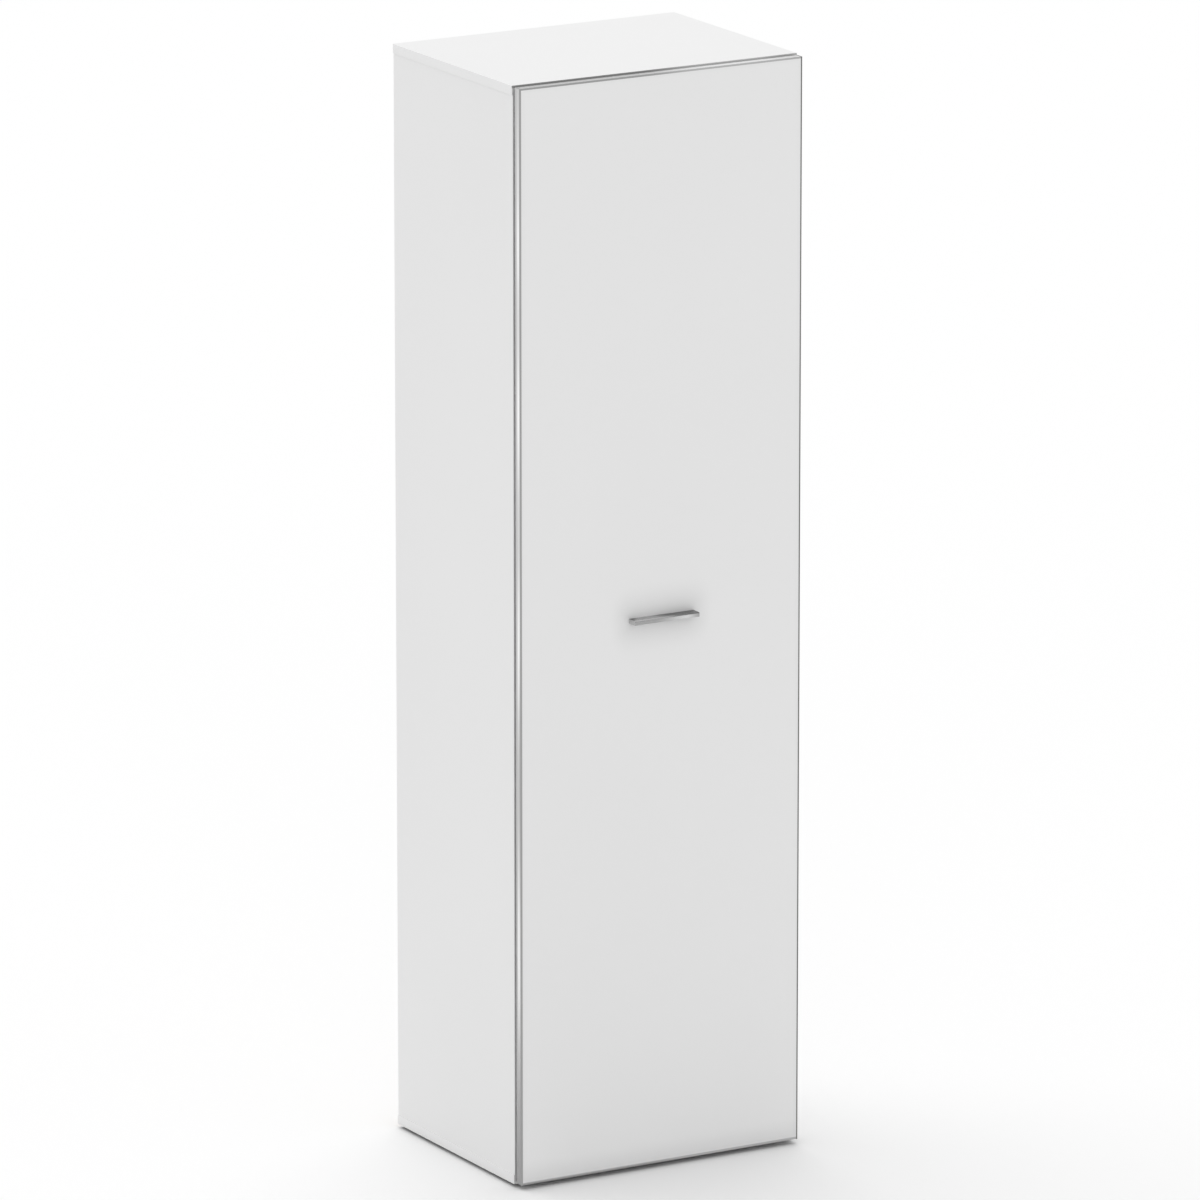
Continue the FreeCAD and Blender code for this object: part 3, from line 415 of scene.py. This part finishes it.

# %% [markdown]
# ## Metal-look bands
# The band round the door is a strip with a brushed metal foil on its broad face. Where the
# trimming cutter rounded its two long edges, and at its cut ends, the darker core shows:
# that is the thin grey outline round the door. The depth coordinate finds the edges, and
# streaks along the strip stand for the brushing. Painted reflections brighten the foil
# towards its front edge, lay long soft glints down the upright strips and make the top strip
# and the core paler right of the middle; painted shade darkens the rear of the level strips
# and the core of the right strip. Towards the foot the upright strips show more core grey
# along their front edge, and the foil is painted darker near the floor as a reflection of
# the shaded floor, darkest under the door, where the dark foil also deepens the shade. The
# case's front edges carry a mid-grey strip, painted darker above the door as shade in the
# gap behind it and paler to the right as a painted gleam, so that the gap behind the door
# reads as a dark line. The room's mirror image could give the glints, but the room isn't
# known, so waves place them.

# %% Brushing and light along the bands
BRUSHED_LONG, BRUSHING_PER_METRE, BRUSHING_DEPTH = 0.012, 1500.0, 0.01 * MM
PALE_FROM, PALE_BY, DIM_FROM, DIM_BY, DIMMED = -40 * MM, 90 * MM, 190 * MM, 250 * MM, 0.4
FIRST_GLINT, GLINT_STEP, GLINTS_FROM, GLINTS_BY = 0.505, 0.233, 0.13, 0.19
GLEAM_FROM, GLEAM_BY, GLEAM_LASTS, GLEAM_GONE = -0.05, 0.17, 0.2, 1.2
PLAIN, GLEAMING, GLINTING, GLINTING_LOWER = 0.13, 0.6, 0.3, 0.6


def brush_marks(finish, long_axis):
    stretch = tuple(BRUSHED_LONG if axis == long_axis else 1.0 for axis in "XYZ")
    return noise(finish, place_on(finish, stretch), BRUSHING_PER_METRE, 3.0, 0.6)


# painted gleam: paler right of the middle, a little dimmer again near the right end
def painted_gleam_right(finish):
    x = along(finish, "X")
    return fade(finish, x, PALE_FROM, PALE_BY) - fade(finish, x, DIM_FROM, DIM_BY) * DIMMED


# painted glints: long soft waves of painted reflection down the upright strips
def painted_glints(finish, top):
    down = top - along(finish, "Z")
    turns = (down.root() - FIRST_GLINT) * (math.tau / GLINT_STEP)
    waves = (turns.cosine() * 0.5 + 0.5) * fade(finish, down, GLINTS_FROM, GLINTS_BY)
    upper = fade(finish, down, GLEAM_FROM, GLEAM_BY) * fade(finish, down, GLEAM_GONE, GLEAM_LASTS)
    return PLAIN + upper * GLEAMING + waves * (GLINTING + down * GLINTING_LOWER)


# %% Trimmed edges and greyer lower fronts
FRONT_TRIM, TRIM_SOLID, CUT_SKIN, REAR_SHADE = 2.0 * MM, 0.7, 0.3 * MM, 3 * MM
FRONT_EDGE_REACH, FRONT_EDGE_SOLID, LOWER_GREY_FROM, LOWER_GREY_BY, LOWER_GREY = 6.0 * MM, 0.6, 1.05, 0.75, 0.45


def upright_light(finish, node):
    front, rear = span(node, "Y")
    y, z = along(finish, "Y"), along(finish, "Z")
    # painted reflection brighter towards the front edge, painted shade at the rear
    forward = fade(finish, y, rear - REAR_SHADE, front + FRONT_EDGE_REACH)
    # more core grey along the front edge towards the foot
    at_edge = fade(finish, y, front + FRONT_EDGE_REACH, front + FRONT_EDGE_REACH * FRONT_EDGE_SOLID)
    lower_front_grey = at_edge * fade(finish, z, LOWER_GREY_FROM, LOWER_GREY_BY) * LOWER_GREY
    return forward * painted_glints(finish, span(node, "Z")[1]), lower_front_grey


def trimmed_off(finish, node, long_axis, rear_trim):
    front, rear = span(node, "Y")
    y = along(finish, "Y")
    trimmed = fade(finish, y, front + FRONT_TRIM, front + FRONT_TRIM * TRIM_SOLID)
    trimmed = trimmed + fade(finish, y, rear - rear_trim, rear - rear_trim * TRIM_SOLID)
    return trimmed.or_more(past_ends(finish, node, long_axis) > -CUT_SKIN)


# %% Foil of the door's bands
NEAR_FLOOR_FROM, NEAR_FLOOR_BY, FLOOR_SHADE_TONE, FLOOR_SHADE_SPREAD = 0.36, 0.04, 0.39, 0.13
CORE_DARKER, CORE_PALER, SHADES_PER_METRE = 0.88, 1.36, 3.0


def brushed_foil(node, long_axis, dark, light, core_tone, rear_trim, floor_shade_tone=FLOOR_SHADE_TONE, glint=0.0):
    finish = Finish("foil_" + node)
    trimmed = trimmed_off(finish, node, long_axis, rear_trim)
    if long_axis == "Z":
        forward, lower_front_grey = upright_light(finish, node)
        trimmed = trimmed.or_more(lower_front_grey)
    else:
        front, rear = span(node, "Y")
        # painted reflection: brighter towards the front edge
        forward = fade(finish, along(finish, "Y"), rear, front)
    # right: the painted gleam, paler right of the middle
    streaks, right = brush_marks(finish, long_axis), painted_gleam_right(finish)
    shade = noise(finish, place_on(finish), SHADES_PER_METRE)
    gleam = (streaks * 0.3 + shade * 0.2 + forward * 0.6) * (1 - glint * 0.9) + right * glint
    bright = blend_colour(finish, gleam, grey(dark), grey(light))
    # painted reflection of the shaded floor: the foil darker near the floor
    floor_shaded = mottle(finish, streaks, floor_shade_tone, FLOOR_SHADE_SPREAD)
    near_floor = fade(finish, along(finish, "Z"), NEAR_FLOOR_FROM, NEAR_FLOOR_BY)
    core_tones = grey(core_tone * CORE_DARKER), grey(core_tone * CORE_PALER)
    # the core is painted paler to the right too
    core = blend_colour(finish, streaks * 0.5 + right, *core_tones)
    foil = blend_colour(finish, near_floor, bright, floor_shaded)
    finish.coat(Base_Color=blend_colour(finish, trimmed, foil, core), Metallic=1 - trimmed,
                Roughness=0.26 + streaks * 0.1 + trimmed * 0.2 + near_floor * 0.1,
                Normal=relief(finish, streaks, BRUSHING_DEPTH), Specular_IOR_Level=0.1)
    return finish


# %% Dress the door's bands
# the level bands' wider dark rear edge is partly trim and partly painted shade from the gap behind the
# door
REAR_TRIM, REAR_TRIM_AND_SHADE = 1.2 * MM, 3.5 * MM
UPRIGHT_FOIL = dict(long_axis="Z", dark=0.36, light=0.95, rear_trim=REAR_TRIM)
LEVEL_FOIL = dict(long_axis="X", dark=0.40, core_tone=0.35, rear_trim=REAR_TRIM_AND_SHADE)
DOOR_BANDS = {"door_edge_left": dict(UPRIGHT_FOIL, core_tone=0.37),
              # the right band's darker core is painted shade
              "door_edge_right": dict(UPRIGHT_FOIL, core_tone=0.15),
              "door_edge_top": dict(LEVEL_FOIL, light=0.95, glint=0.5),
              # the foot band's foil is painted dark, which deepens the shade on the floor under the door
              "door_edge_bottom": dict(LEVEL_FOIL, light=0.70, floor_shade_tone=0.08)}
for node, looks in DOOR_BANDS.items():
    dress(brushed_foil(node, **looks), node)

# %% Grey strip of the case's front
STRIP_LOW, STRIP_HIGH, SHADE_ABOVE_LOW, SHADE_ABOVE_HIGH = 0.58, 0.70, 0.28, 0.66
ABOVE_FROM, ABOVE_BY = 3 * MM, 1 * MM


def grey_front():
    finish = Finish("case_front_band")
    streaks = brush_marks(finish, "Z")
    door_top = span("door_edge_top", "Z")[1]
    # painted shade: the strip darker above the door, in the gap behind it, with a painted gleam to the
    # right
    above = fade(finish, along(finish, "Z"), door_top - ABOVE_FROM, door_top - ABOVE_BY)
    tone = blend_colour(finish, streaks, grey(STRIP_LOW), grey(STRIP_HIGH))
    gleam = painted_gleam_right(finish) * 0.8 + streaks * 0.2
    painted_shade_above = blend_colour(finish, gleam, grey(SHADE_ABOVE_LOW), grey(SHADE_ABOVE_HIGH))
    finish.coat(Base_Color=blend_colour(finish, above, tone, painted_shade_above), Metallic=0.6,
                Roughness=0.36 + streaks * 0.1, Normal=relief(finish, streaks, BRUSHING_DEPTH))
    return finish


front_finish = grey_front()
print("made", front_finish.material.name)

# %% [markdown]
# ## Metals
# The hinges are nickel plated, screws and brackets zinc plated, cams die-cast, and the broom
# clips blue-grey spring steel. All are one recipe: a metal with its own tint and gloss, and
# marks that can be stretched along one way, as rolling leaves them on the spring steel.

# %% Metal finishes
SMUDGES_PER_METRE = 45.0


def worked_metal(name, tint, gloss, spread, stretch=(1.0, 1.0, 1.0), marks=900.0, depth=0.01):
    finish = Finish(name)
    lines = noise(finish, place_on(finish, stretch), marks, 3.0, 0.6)
    smudges = noise(finish, place_on(finish), SMUDGES_PER_METRE, 3.0)
    shade = lines * 0.5 + smudges * 0.5
    dark, light = (tuple(c * k for c in tint) + (1.0,) for k in (1 - spread, 1 + spread))
    finish.coat(Base_Color=blend_colour(finish, shade, dark, light), Metallic=1.0,
                Roughness=gloss - 0.06 + shade * 0.12, Normal=relief(finish, lines, depth * MM))
    return finish


nickel = worked_metal("nickel_plate", (0.63, 0.61, 0.58), 0.22, 0.1)
zinc_plate = worked_metal("zinc_plate", (0.60, 0.62, 0.65), 0.30, 0.12)
die_cast = worked_metal("die_cast_zinc", (0.47, 0.48, 0.50), 0.46, 0.15, marks=500.0, depth=0.05)
spring_steel = worked_metal("spring_steel", (0.36, 0.37, 0.40), 0.26, 0.2, (1.0, 1.0, 0.04), 1100.0)
HINGES = (1, 2, 3, 4)
dress(nickel, "hinge_pins", "catch_strike", "shelf_supports",
      *(f"hinge_{part}_{n}" for part in ("plate", "arm", "cup") for n in HINGES))
dress(zinc_plate, "wall_brackets", "cam_bolts")
dress(die_cast, "cam_locks")
dress(spring_steel, "broom_clips")

# %% [markdown]
# ## The pull
# The pull is a short cast strip with brushed faces. Its tones are painted reflections: a
# dark grey top that rolls over the front edge, with a pale painted reflection left of the
# middle; a lip in front, where fingers hook it, painted bright towards the right and duller
# at its very end; and a thin painted highlight along the crest between the two on the left.
# The two ends are plainly ground. Bare metal could get light and dark from the room it
# mirrors, but the room isn't known, so soft masks along the pull's length, depth and height
# mix these tones.

# %% Pull finish
LIP_DEPTH, END_SKIN, ROLLED_OVER = 2.8 * MM, 0.2 * MM, 1.15 * MM
TOP_DARK, TOP_PALE, LIP_DULL, LIP_BRIGHT = 0.19, 0.56, 0.40, 0.70
CREST_HIGHLIGHT, END_TONE, STROKES_DARKEN = 0.85, 0.62, 0.82
STROKES_LONG, STROKES_PER_METRE = (0.02, 1.0, 1.0), 1600.0
SPOT_START, SPOT_FULL, SPOT_SLANT = -0.06, 0.04, 0.12
SPOT_WANES, SPOT_ENDS, SPOT_PER_LENGTH, SPOT_PER_DEPTH = 0.80, 1.30, 1.8, 0.35
BRIGHT_FROM, BRIGHT_BY, BRIGHT_WANES, BRIGHT_ENDS = 0.30, 0.85, 0.80, 1.02


def pull_top(finish, share, to_rear):
    # painted reflection: a pale spot left of the middle on a dark top
    pale_reflection = fade(finish, share * SPOT_PER_LENGTH + to_rear * SPOT_PER_DEPTH, SPOT_ENDS, SPOT_WANES)
    pale_reflection = pale_reflection * fade(finish, share - to_rear * SPOT_SLANT, SPOT_START, SPOT_FULL)
    return blend_colour(finish, pale_reflection, grey(TOP_DARK), grey(TOP_PALE))


def pull_lip(finish, share):
    # painted reflection: the lip bright towards the right
    bright = fade(finish, share, BRIGHT_FROM, BRIGHT_BY) * fade(finish, share, BRIGHT_ENDS, BRIGHT_WANES)
    return blend_colour(finish, bright, grey(LIP_DULL), grey(LIP_BRIGHT))


def pull_painted_reflections():
    finish = Finish("pull_painted_reflections")
    low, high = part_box("door_handle")
    x, y, z = (along(finish, axis) for axis in "XYZ")
    share, to_rear = (x - low.x) * (1.0 / (high.x - low.x)), (y - low.y) * (1.0 / (high.y - low.y))
    at_lip = fade(finish, y, low.y + LIP_DEPTH * 1.1, low.y + LIP_DEPTH * 0.4)
    at_lip = at_lip * fade(finish, z, high.z - ROLLED_OVER * 0.5, high.z - ROLLED_OVER * 1.5)
    off_crest = abs(y - (low.y + LIP_DEPTH)) * (1.0 / LIP_DEPTH)
    # painted highlight along the crest on the left
    crest = fade(finish, off_crest, 0.8, 0.2) * (1 - fade(finish, share, 0.0, 1.0))
    faces = blend_colour(finish, at_lip, pull_top(finish, share, to_rear), pull_lip(finish, share))
    faces = blend_colour(finish, crest, faces, grey(CREST_HIGHLIGHT))
    at_end = past_ends(finish, "door_handle", "X") > -END_SKIN
    pull_tones = blend_colour(finish, at_end, faces, grey(END_TONE))
    strokes = noise(finish, place_on(finish, STROKES_LONG), STROKES_PER_METRE, 3.0, 0.6)
    shade = blend_colour(finish, strokes, grey(STROKES_DARKEN), grey(1.0))
    finish.coat(Base_Color=blend_colour(finish, 1.0, pull_tones, shade, "MULTIPLY"), Metallic=1.0,
                Roughness=0.22 + strokes * 0.12, Normal=relief(finish, strokes, BRUSHING_DEPTH))
    return finish


dress(pull_painted_reflections(), "door_handle")

# %% [markdown]
# ## Small stuff: beech, magnet, nylon, soft bumpers
# Dowels are hidden in the joints but still part of the model, so they get their grain. The
# magnet is dull grey-black, the glides are grey nylon and the bumpers milky soft plastic:
# one speckled recipe serves all three.

# %% Finishes of the small stuff
GRAIN_LONG, GRAIN_PER_METRE, GRAIN_DEPTH = (1.0, 1.0, 0.15), 700.0, 0.05 * MM
BEECH_BROWNS = [(0.3, (0.38, 0.22, 0.11, 1)), (0.7, (0.62, 0.43, 0.26, 1))]
SPECKS_PER_METRE = 1100.0


def beech():
    finish = Finish("beech_dowel")
    grain = noise(finish, place_on(finish, GRAIN_LONG), GRAIN_PER_METRE, 4.0, 0.6)
    finish.coat(Base_Color=ramp(finish, BEECH_BROWNS, grain), Roughness=0.55 + grain * 0.1,
                Normal=relief(finish, grain, GRAIN_DEPTH))
    return finish


def speckled(name, low, high, gloss, grain):
    finish = Finish(name)
    speck = noise(finish, place_on(finish), SPECKS_PER_METRE, 3.0, 0.6)
    finish.coat(Base_Color=blend_colour(finish, speck, low, high), Roughness=gloss + speck * 0.1,
                Normal=relief(finish, speck, grain * MM))
    return finish


dress(beech(), "dowels")
dress(speckled("ferrite", grey(0.02), grey(0.05), 0.5, 0.04), "catch_magnet")
nylon = speckled("grey_nylon", grey(0.28), grey(0.34), 0.42, 0.03)
soft_clear = speckled("soft_bumper", (0.70, 0.72, 0.73, 1), (0.78, 0.80, 0.81, 1), 0.18, 0.005)

# %% [markdown]
# ## A bench for small pieces
# The case's bands, screws, caps, glides, bumpers and clips are replaced by softer shapes
# than the plain CAD ones. Each is modelled once with bmesh tools and set in place by a
# matrix. The finished object sits at the origin like a CAD node. It could sit where its
# piece is, but then patterns on it would start from another point than on the boards.

# %% Softened blocks and turned shapes
TURN_STEPS, MERGE_WITHIN = 24, 1e-7


def soften(work, edges, round_by, segments, clamp):
    bmesh.ops.bevel(work, geom=edges, offset=round_by, offset_type="OFFSET", segments=segments,
                    profile=0.5, affect="EDGES", material=-1, clamp_overlap=clamp)


def block(low, high, round_by, inner=None):
    work = bmesh.new()
    bmesh.ops.create_cube(work, size=1.0)
    low, high = Vector(low), Vector(high)
    bmesh.ops.scale(work, vec=high - low, verts=work.verts)
    bmesh.ops.translate(work, vec=(low + high) / 2, verts=work.verts)
    outer = [e for e in work.edges if inner is None or not all(inner(v.co) for v in e.verts)]
    soften(work, outer, round_by, segments=3, clamp=True)
    return work


def turned(profile):
    work = bmesh.new()
    points = [work.verts.new((radius * MM, 0.0, height * MM)) for radius, height in profile]
    for pair in zip(points, points[1:]):
        work.edges.new(pair)
    bmesh.ops.spin(work, geom=work.verts[:] + work.edges[:], cent=(0, 0, 0), axis=(0, 0, 1),
                   angle=math.tau, steps=TURN_STEPS, use_merge=True)
    bmesh.ops.remove_doubles(work, verts=work.verts, dist=MERGE_WITHIN)
    bmesh.ops.recalc_face_normals(work, faces=work.faces)
    return work


# %% Setting shapes in place
from mathutils import Matrix

HERE = [Matrix.Identity(4)]
SMOOTH_UP_TO = math.radians(35)


def facing_way(place, way):
    turn = Vector(way).to_track_quat("Z", "Y").to_matrix().to_4x4()
    return Matrix.Translation(Vector(place) * MM) @ turn


def joined(parts):
    whole = bmesh.new()
    for work, places in parts:
        one = bpy.data.meshes.new("pattern")
        work.to_mesh(one)
        work.free()
        for place in places:
            before = len(whole.verts)
            whole.from_mesh(one)
            whole.verts.ensure_lookup_table()
            bmesh.ops.transform(whole, matrix=place, verts=whole.verts[before:])
        bpy.data.meshes.remove(one)
    return whole


def set_out(name, parts, finish, body, slot, *nodes):
    whole = joined(parts)
    mesh = bpy.data.meshes.new(name)
    whole.to_mesh(mesh)
    whole.free()
    mesh.shade_smooth()
    mesh.set_sharp_from_angle(angle=SMOOTH_UP_TO)
    mesh.materials.append(finish.material)
    piece = bpy.data.objects.new(name, mesh)
    scene.collection.objects.link(piece)
    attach(piece, body)
    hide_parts(*nodes)
    print(name, len(mesh.polygons), "faces for", nodes)


# %% [markdown]
# ## Edge bands of the case
# Bands cover every board edge that shows: grey ones on the case's own front, white ones on
# the ends of the plates, the shelves and the divider. A real band is trimmed after gluing,
# which leaves a fine round along its outer edges, and that round catches the light. So
# each band is a bevelled block whose inner face, glued to the board, stays square.

# %% Set the bands on their boards
BAND, BAND_ROUND = 1.0 * MM, 0.55 * MM
PLATES = ("top_plate", "bottom_plate")


def front_band(node, past=0.0):
    low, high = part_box(node)
    glue = low.y
    return block((low.x - past, glue - BAND, low.z), (high.x + past, glue, high.z), BAND_ROUND,
                 lambda point: abs(point.y - glue) < FACING)


def end_band(node, side):
    low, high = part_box(node)
    glue = high.x if side > 0 else low.x
    left, right = sorted((glue, glue + side * BAND))
    return block((left, low.y, low.z), (right, high.y, high.z), BAND_ROUND,
                 lambda point: abs(point.x - glue) < FACING or abs(point.y - low.y) < FACING)


grey_bands = [front_band(node, BAND) for node in PLATES]
grey_bands += [front_band(node) for node in ("left_side", "right_side")]
set_out("case_front_bands", [(band, HERE) for band in grey_bands], front_finish, "cabinet", "edge_metal",
        "front_edge_bands")

white_bands = [end_band(node, side) for node in PLATES for side in (-1, 1)]
white_bands += [front_band(node) for node in ("hat_shelf", "divider", *LOOSE_SHELVES)]
set_out("case_edge_bands", [(band, HERE) for band in white_bands], band_white, "cabinet", "white_band",
        "white_edge_bands")

# %% [markdown]
# ## Cross-head screws
# Every fitting is held by screws with a cross recess. A head is turned on a lathe: a
# profile spun round its axis, open at the top. The opening is filled, inset, and the inner
# face's points are pulled into a cross and sunk. One pattern serves all heads of a size.
# A pan head stands on its fitting, and a flush one is let into it. The box of the CAD's own
# screws says where the heads sit.

# %% Screw patterns
RIM, CROSS_TAPER = 0.15 * MM, (0.6, 0.6, 1.0)
QUARTER_STEPS = TURN_STEPS // 4


def sink_cross(work, reach, slot, depth):
    rim = [e for e in work.edges if e.is_boundary]
    top = bmesh.ops.contextual_create(work, geom=rim)["faces"][0]
    bmesh.ops.inset_region(work, faces=[top], thickness=RIM, use_even_offset=True)
    height = top.verts[0].co.z
    half_way = (reach + slot) / 2
    quarter = [(reach, 0), (reach, slot), (half_way, slot), (slot, slot), (slot, half_way), (slot, reach)]
    for vert in top.verts:
        step = round(math.atan2(vert.co.y, vert.co.x) / math.tau * TURN_STEPS) % TURN_STEPS
        across = Vector((*quarter[step % QUARTER_STEPS], 0.0)) * MM
        turn = Matrix.Rotation(math.tau / 4 * (step // QUARTER_STEPS), 3, "Z")
        vert.co = turn @ across + Vector((0, 0, height))
    bottom = bmesh.ops.extrude_discrete_faces(work, faces=[top])["faces"][0]
    bmesh.ops.translate(work, vec=(0, 0, -depth * MM), verts=bottom.verts)
    bmesh.ops.scale(work, vec=CROSS_TAPER, verts=bottom.verts)
    bmesh.ops.recalc_face_normals(work, faces=work.faces)
    return work


def pan_screw(radius, head, shank, bite):
    outline = [(0.62 * radius, head), (0.84 * radius, 0.9 * head), (0.96 * radius, 0.6 * head),
               (radius, 0.2 * head), (radius, 0), (shank, 0), (shank, -0.8 * bite), (0, -bite)]
    return sink_cross(turned(outline), 0.52 * radius, 0.13 * radius, 0.7 * head)


def flush_screw(radius, head, shank, bite):
    outline = [(0.93 * radius, 0), (radius, -0.12), (shank, -head), (shank, -head - 0.8 * bite),
               (0, -head - bite)]
    return sink_cross(turned(outline), 0.55 * radius, 0.13 * radius, 0.9 * head)


# %% Seats of the screws
FRONTWARD, REARWARD, DOWN, INTO_BAY = (0, -1, 0), (0, 1, 0), (0, 0, -1), (-1, 0, 0)


def ends(node, axis, inset=0.0):
    return [end / MM + step for end, step in zip(span(node, axis), (inset, -inset))]


def middle(node, axis):
    return sum(ends(node, axis)) / 2


def seat(node, way, head=0.0):
    place = [middle(node, axis) for axis in "XYZ"]
    outward = next(i for i, step in enumerate(way) if step)
    low, high = ends(node, "XYZ"[outward])
    place[outward] = high - head if way[outward] > 0 else low + head
    return place


def screws(name, pattern, places, way, body, node):
    parts = [(pattern, [facing_way(place, way) for place in places])]
    set_out(name, parts, zinc_plate, body, "screw_steel", node)


# %% Screws of the rail, catch, brackets and pull
CLIP_SCREW = 3.6
CLIP_SIZES = (CLIP_SCREW, 2.0, 2.0, 12)
# each pair: CAD node, body, the way it faces, and radius, head, shank and bite in mm
SCREW_PAIRS = {"clip_cross_screws": ("broom_clip_screws", "cabinet", FRONTWARD, CLIP_SIZES),
               "catch_cross_screws": ("catch_screws", "cabinet", DOWN, (3.2, 1.8, 1.6, 24)),
               "bracket_cross_screws": ("wall_bracket_screws", "cabinet", DOWN, (3.8, 2.2, 2.0, 12)),
               "pull_cross_screws": ("handle_screws", "door", REARWARD, (4.0, 2.4, 2.0, 25))}
for name, (node, body, way, (radius, head, shank, bite)) in SCREW_PAIRS.items():
    _, y, z = seat(node, way, head)
    places = [(x, y, z) for x in ends(node, "X", radius)]
    screws(name, pan_screw(radius, head, shank, bite), places, way, body, node)
screws("strike_cross_screw", flush_screw(3.4, 1.2, 1.75, 9), [seat("strike_screw", REARWARD)], REARWARD,
       "door", "strike_screw")

# %% Screws of the four hinges
hinge_levels = [middle(f"hinge_arm_{n}", "Z") for n in HINGES]
CLAMP_HEAD = 2.2


def hinge_screws(name, pattern, way, body, node, head=0.0, steps=(0.0,)):
    x, y, _ = seat(node, way, head)
    places = [(x, y, level + step) for level in hinge_levels for step in steps]
    screws(name, pattern, places, way, body, node)


# sizes in mm as above, steps up and down from the level of each hinge
hinge_screws("plate_cross_screws", flush_screw(4.0, 1.6, 2.5, 12), INTO_BAY, "cabinet",
             "hinge_plate_screws", steps=(-16, 16))
hinge_screws("clamp_cross_screws", pan_screw(4.2, CLAMP_HEAD, 2.5, 5.5), INTO_BAY, "cabinet",
             "hinge_clamp_screws", head=CLAMP_HEAD)
hinge_screws("adjust_cross_screws", flush_screw(2.5, 0.2, 2.5, 5.3), INTO_BAY, "cabinet",
             "hinge_adjust_screws")
hinge_screws("cup_cross_screws", flush_screw(3.4, 1.2, 1.75, 10), REARWARD, "door",
             "hinge_cup_screws", steps=(-22.5, 22.5))
print("hinges at", [round(level, 1) for level in hinge_levels])

# %% [markdown]
# ## Cam covers, glides and bumpers
# Three more turned pieces: the thin caps over the cam locks, the nail-on glides the case
# stands on, and the soft drops that quieten the door. Each is a short profile on the lathe.

# %% Cam covers
CAP, CAP_FROM_WALL = 8.5, 34
CAP_OUTLINE = [(0, 0.82), (1.5, 0.82), (1.9, 1.0), (7.3, 1.0), (7.9, 0.82), (8.35, 0.4), (CAP, 0),
               (0, 0)]
walls = (ends("left_side", "X")[1], ends("right_side", "X")[0])
rows, levels = ends("cam_caps", "Y", CAP), ends("cam_caps", "Z", CAP)
shelf_under = ends("hat_shelf", "Z")[0]
cap_places = [facing_way((x, y, z), (-x, 0, 0)) for x in walls for y in rows for z in levels]
cap_places += [facing_way((x + CAP_FROM_WALL * side, y, shelf_under), DOWN)
               for x, side in zip(walls, (1, -1)) for y in rows]
set_out("cam_covers", [(turned(CAP_OUTLINE), cap_places)], moulded_white, "cabinet", "white_plastic",
        "cam_caps")

# %% Glides and bumpers
GLIDE, DROP, UP = 11, 4.0, (0, 0, 1)
GLIDE_OUTLINE = [(0, 0), (8.8, 0), (10.2, 0.6), (GLIDE, 1.8), (GLIDE, 4.8), (10.5, 6.0), (2, 6.0),
                 (2, 16.5), (0, 18)]
glide_places = [facing_way((x, y, 0), UP) for x in ends("floor_glides", "X", GLIDE)
                for y in ends("floor_glides", "Y", GLIDE)]
set_out("nail_glides", [(turned(GLIDE_OUTLINE), glide_places)], nylon, "cabinet", "glide_plastic",
        "floor_glides")

DROP_OUTLINE = [(0, 0), (DROP, 0), (DROP, 1.2), (3.8, 2.6), (3.1, 3.8), (1.8, 4.5), (0, 4.7)]
drop_x, drop_base = middle("door_bumpers", "X"), ends("door_bumpers", "Y")[0]
drop_places = [facing_way((drop_x, drop_base, z), REARWARD) for z in ends("door_bumpers", "Z", DROP)]
set_out("soft_drops", [(turned(DROP_OUTLINE), drop_places)], soft_clear, "door", "bumper", "door_bumpers")

# %% [markdown]
# ## Spring clips for the broom sticks
# Each clip is one strip of spring steel bent round the stick, with its two lips turned out
# so that the stick snaps in, on a flat strap under the screw. It could be cut from a tube,
# but a smith would bend it: here a point is spun into an arc, its two ends are drawn out
# into the lips, the line is pulled up into a strip, and the strip gets its thickness.

# %% Bend the clips
STRIP, STRIP_TALL, GRIP, MOUTH = 1.2 * MM, 22.0 * MM, 12.0 * MM, 7.7 * MM
LIP_STEPS = ((0.2, -1.2), (1.6, -1.4), (2.0, -0.7))
ARC_STEPS, CORNER, CLIP_ROUND, STRAP_ROUND = 36, math.radians(60), 0.25 * MM, 0.35 * MM


def bent_line():
    work = bmesh.new()
    turn = math.acos(-MOUTH / GRIP)
    start = work.verts.new((GRIP * math.sin(-turn), GRIP * math.cos(-turn), 0.0))
    bmesh.ops.spin(work, geom=[start], cent=(0, 0, 0), axis=(0, 0, -1), angle=2 * turn, steps=ARC_STEPS)
    for tip in [v for v in work.verts if len(v.link_edges) == 1]:
        side = math.copysign(1.0, tip.co.x)
        for outward, forward in LIP_STEPS:
            drawn = bmesh.ops.extrude_vert_indiv(work, verts=[tip])["verts"]
            bmesh.ops.translate(work, vec=(side * outward * MM, forward * MM, 0.0), verts=drawn)
            tip = drawn[0]
    return work


def bent_strip():
    work = bent_line()
    pulled = bmesh.ops.extrude_edge_only(work, edges=work.edges[:])["geom"]
    upper = [g for g in pulled if isinstance(g, bmesh.types.BMVert)]
    bmesh.ops.translate(work, vec=(0, 0, STRIP_TALL), verts=upper)
    bmesh.ops.recalc_face_normals(work, faces=work.faces)
    bmesh.ops.solidify(work, geom=work.faces[:], thickness=STRIP)
    corners = [e for e in work.edges if e.calc_face_angle(0.0) > CORNER]
    soften(work, corners, CLIP_ROUND, segments=2, clamp=False)
    return work


strap = block((-GRIP, GRIP, 0), (GRIP, GRIP + STRIP, STRIP_TALL), STRAP_ROUND)
clip_seat = ends("broom_clips", "Y")[1] * MM - STRIP - GRIP
clip_low = ends("broom_clips", "Z")[0] * MM
clip_places = [Matrix.Translation((x * MM, clip_seat, clip_low))
               for x in ends("broom_clip_screws", "X", CLIP_SCREW)]
set_out("bent_broom_clips", [(bent_strip(), clip_places), (strap, clip_places)], spring_steel, "cabinet",
        "spring_steel", "broom_clips")
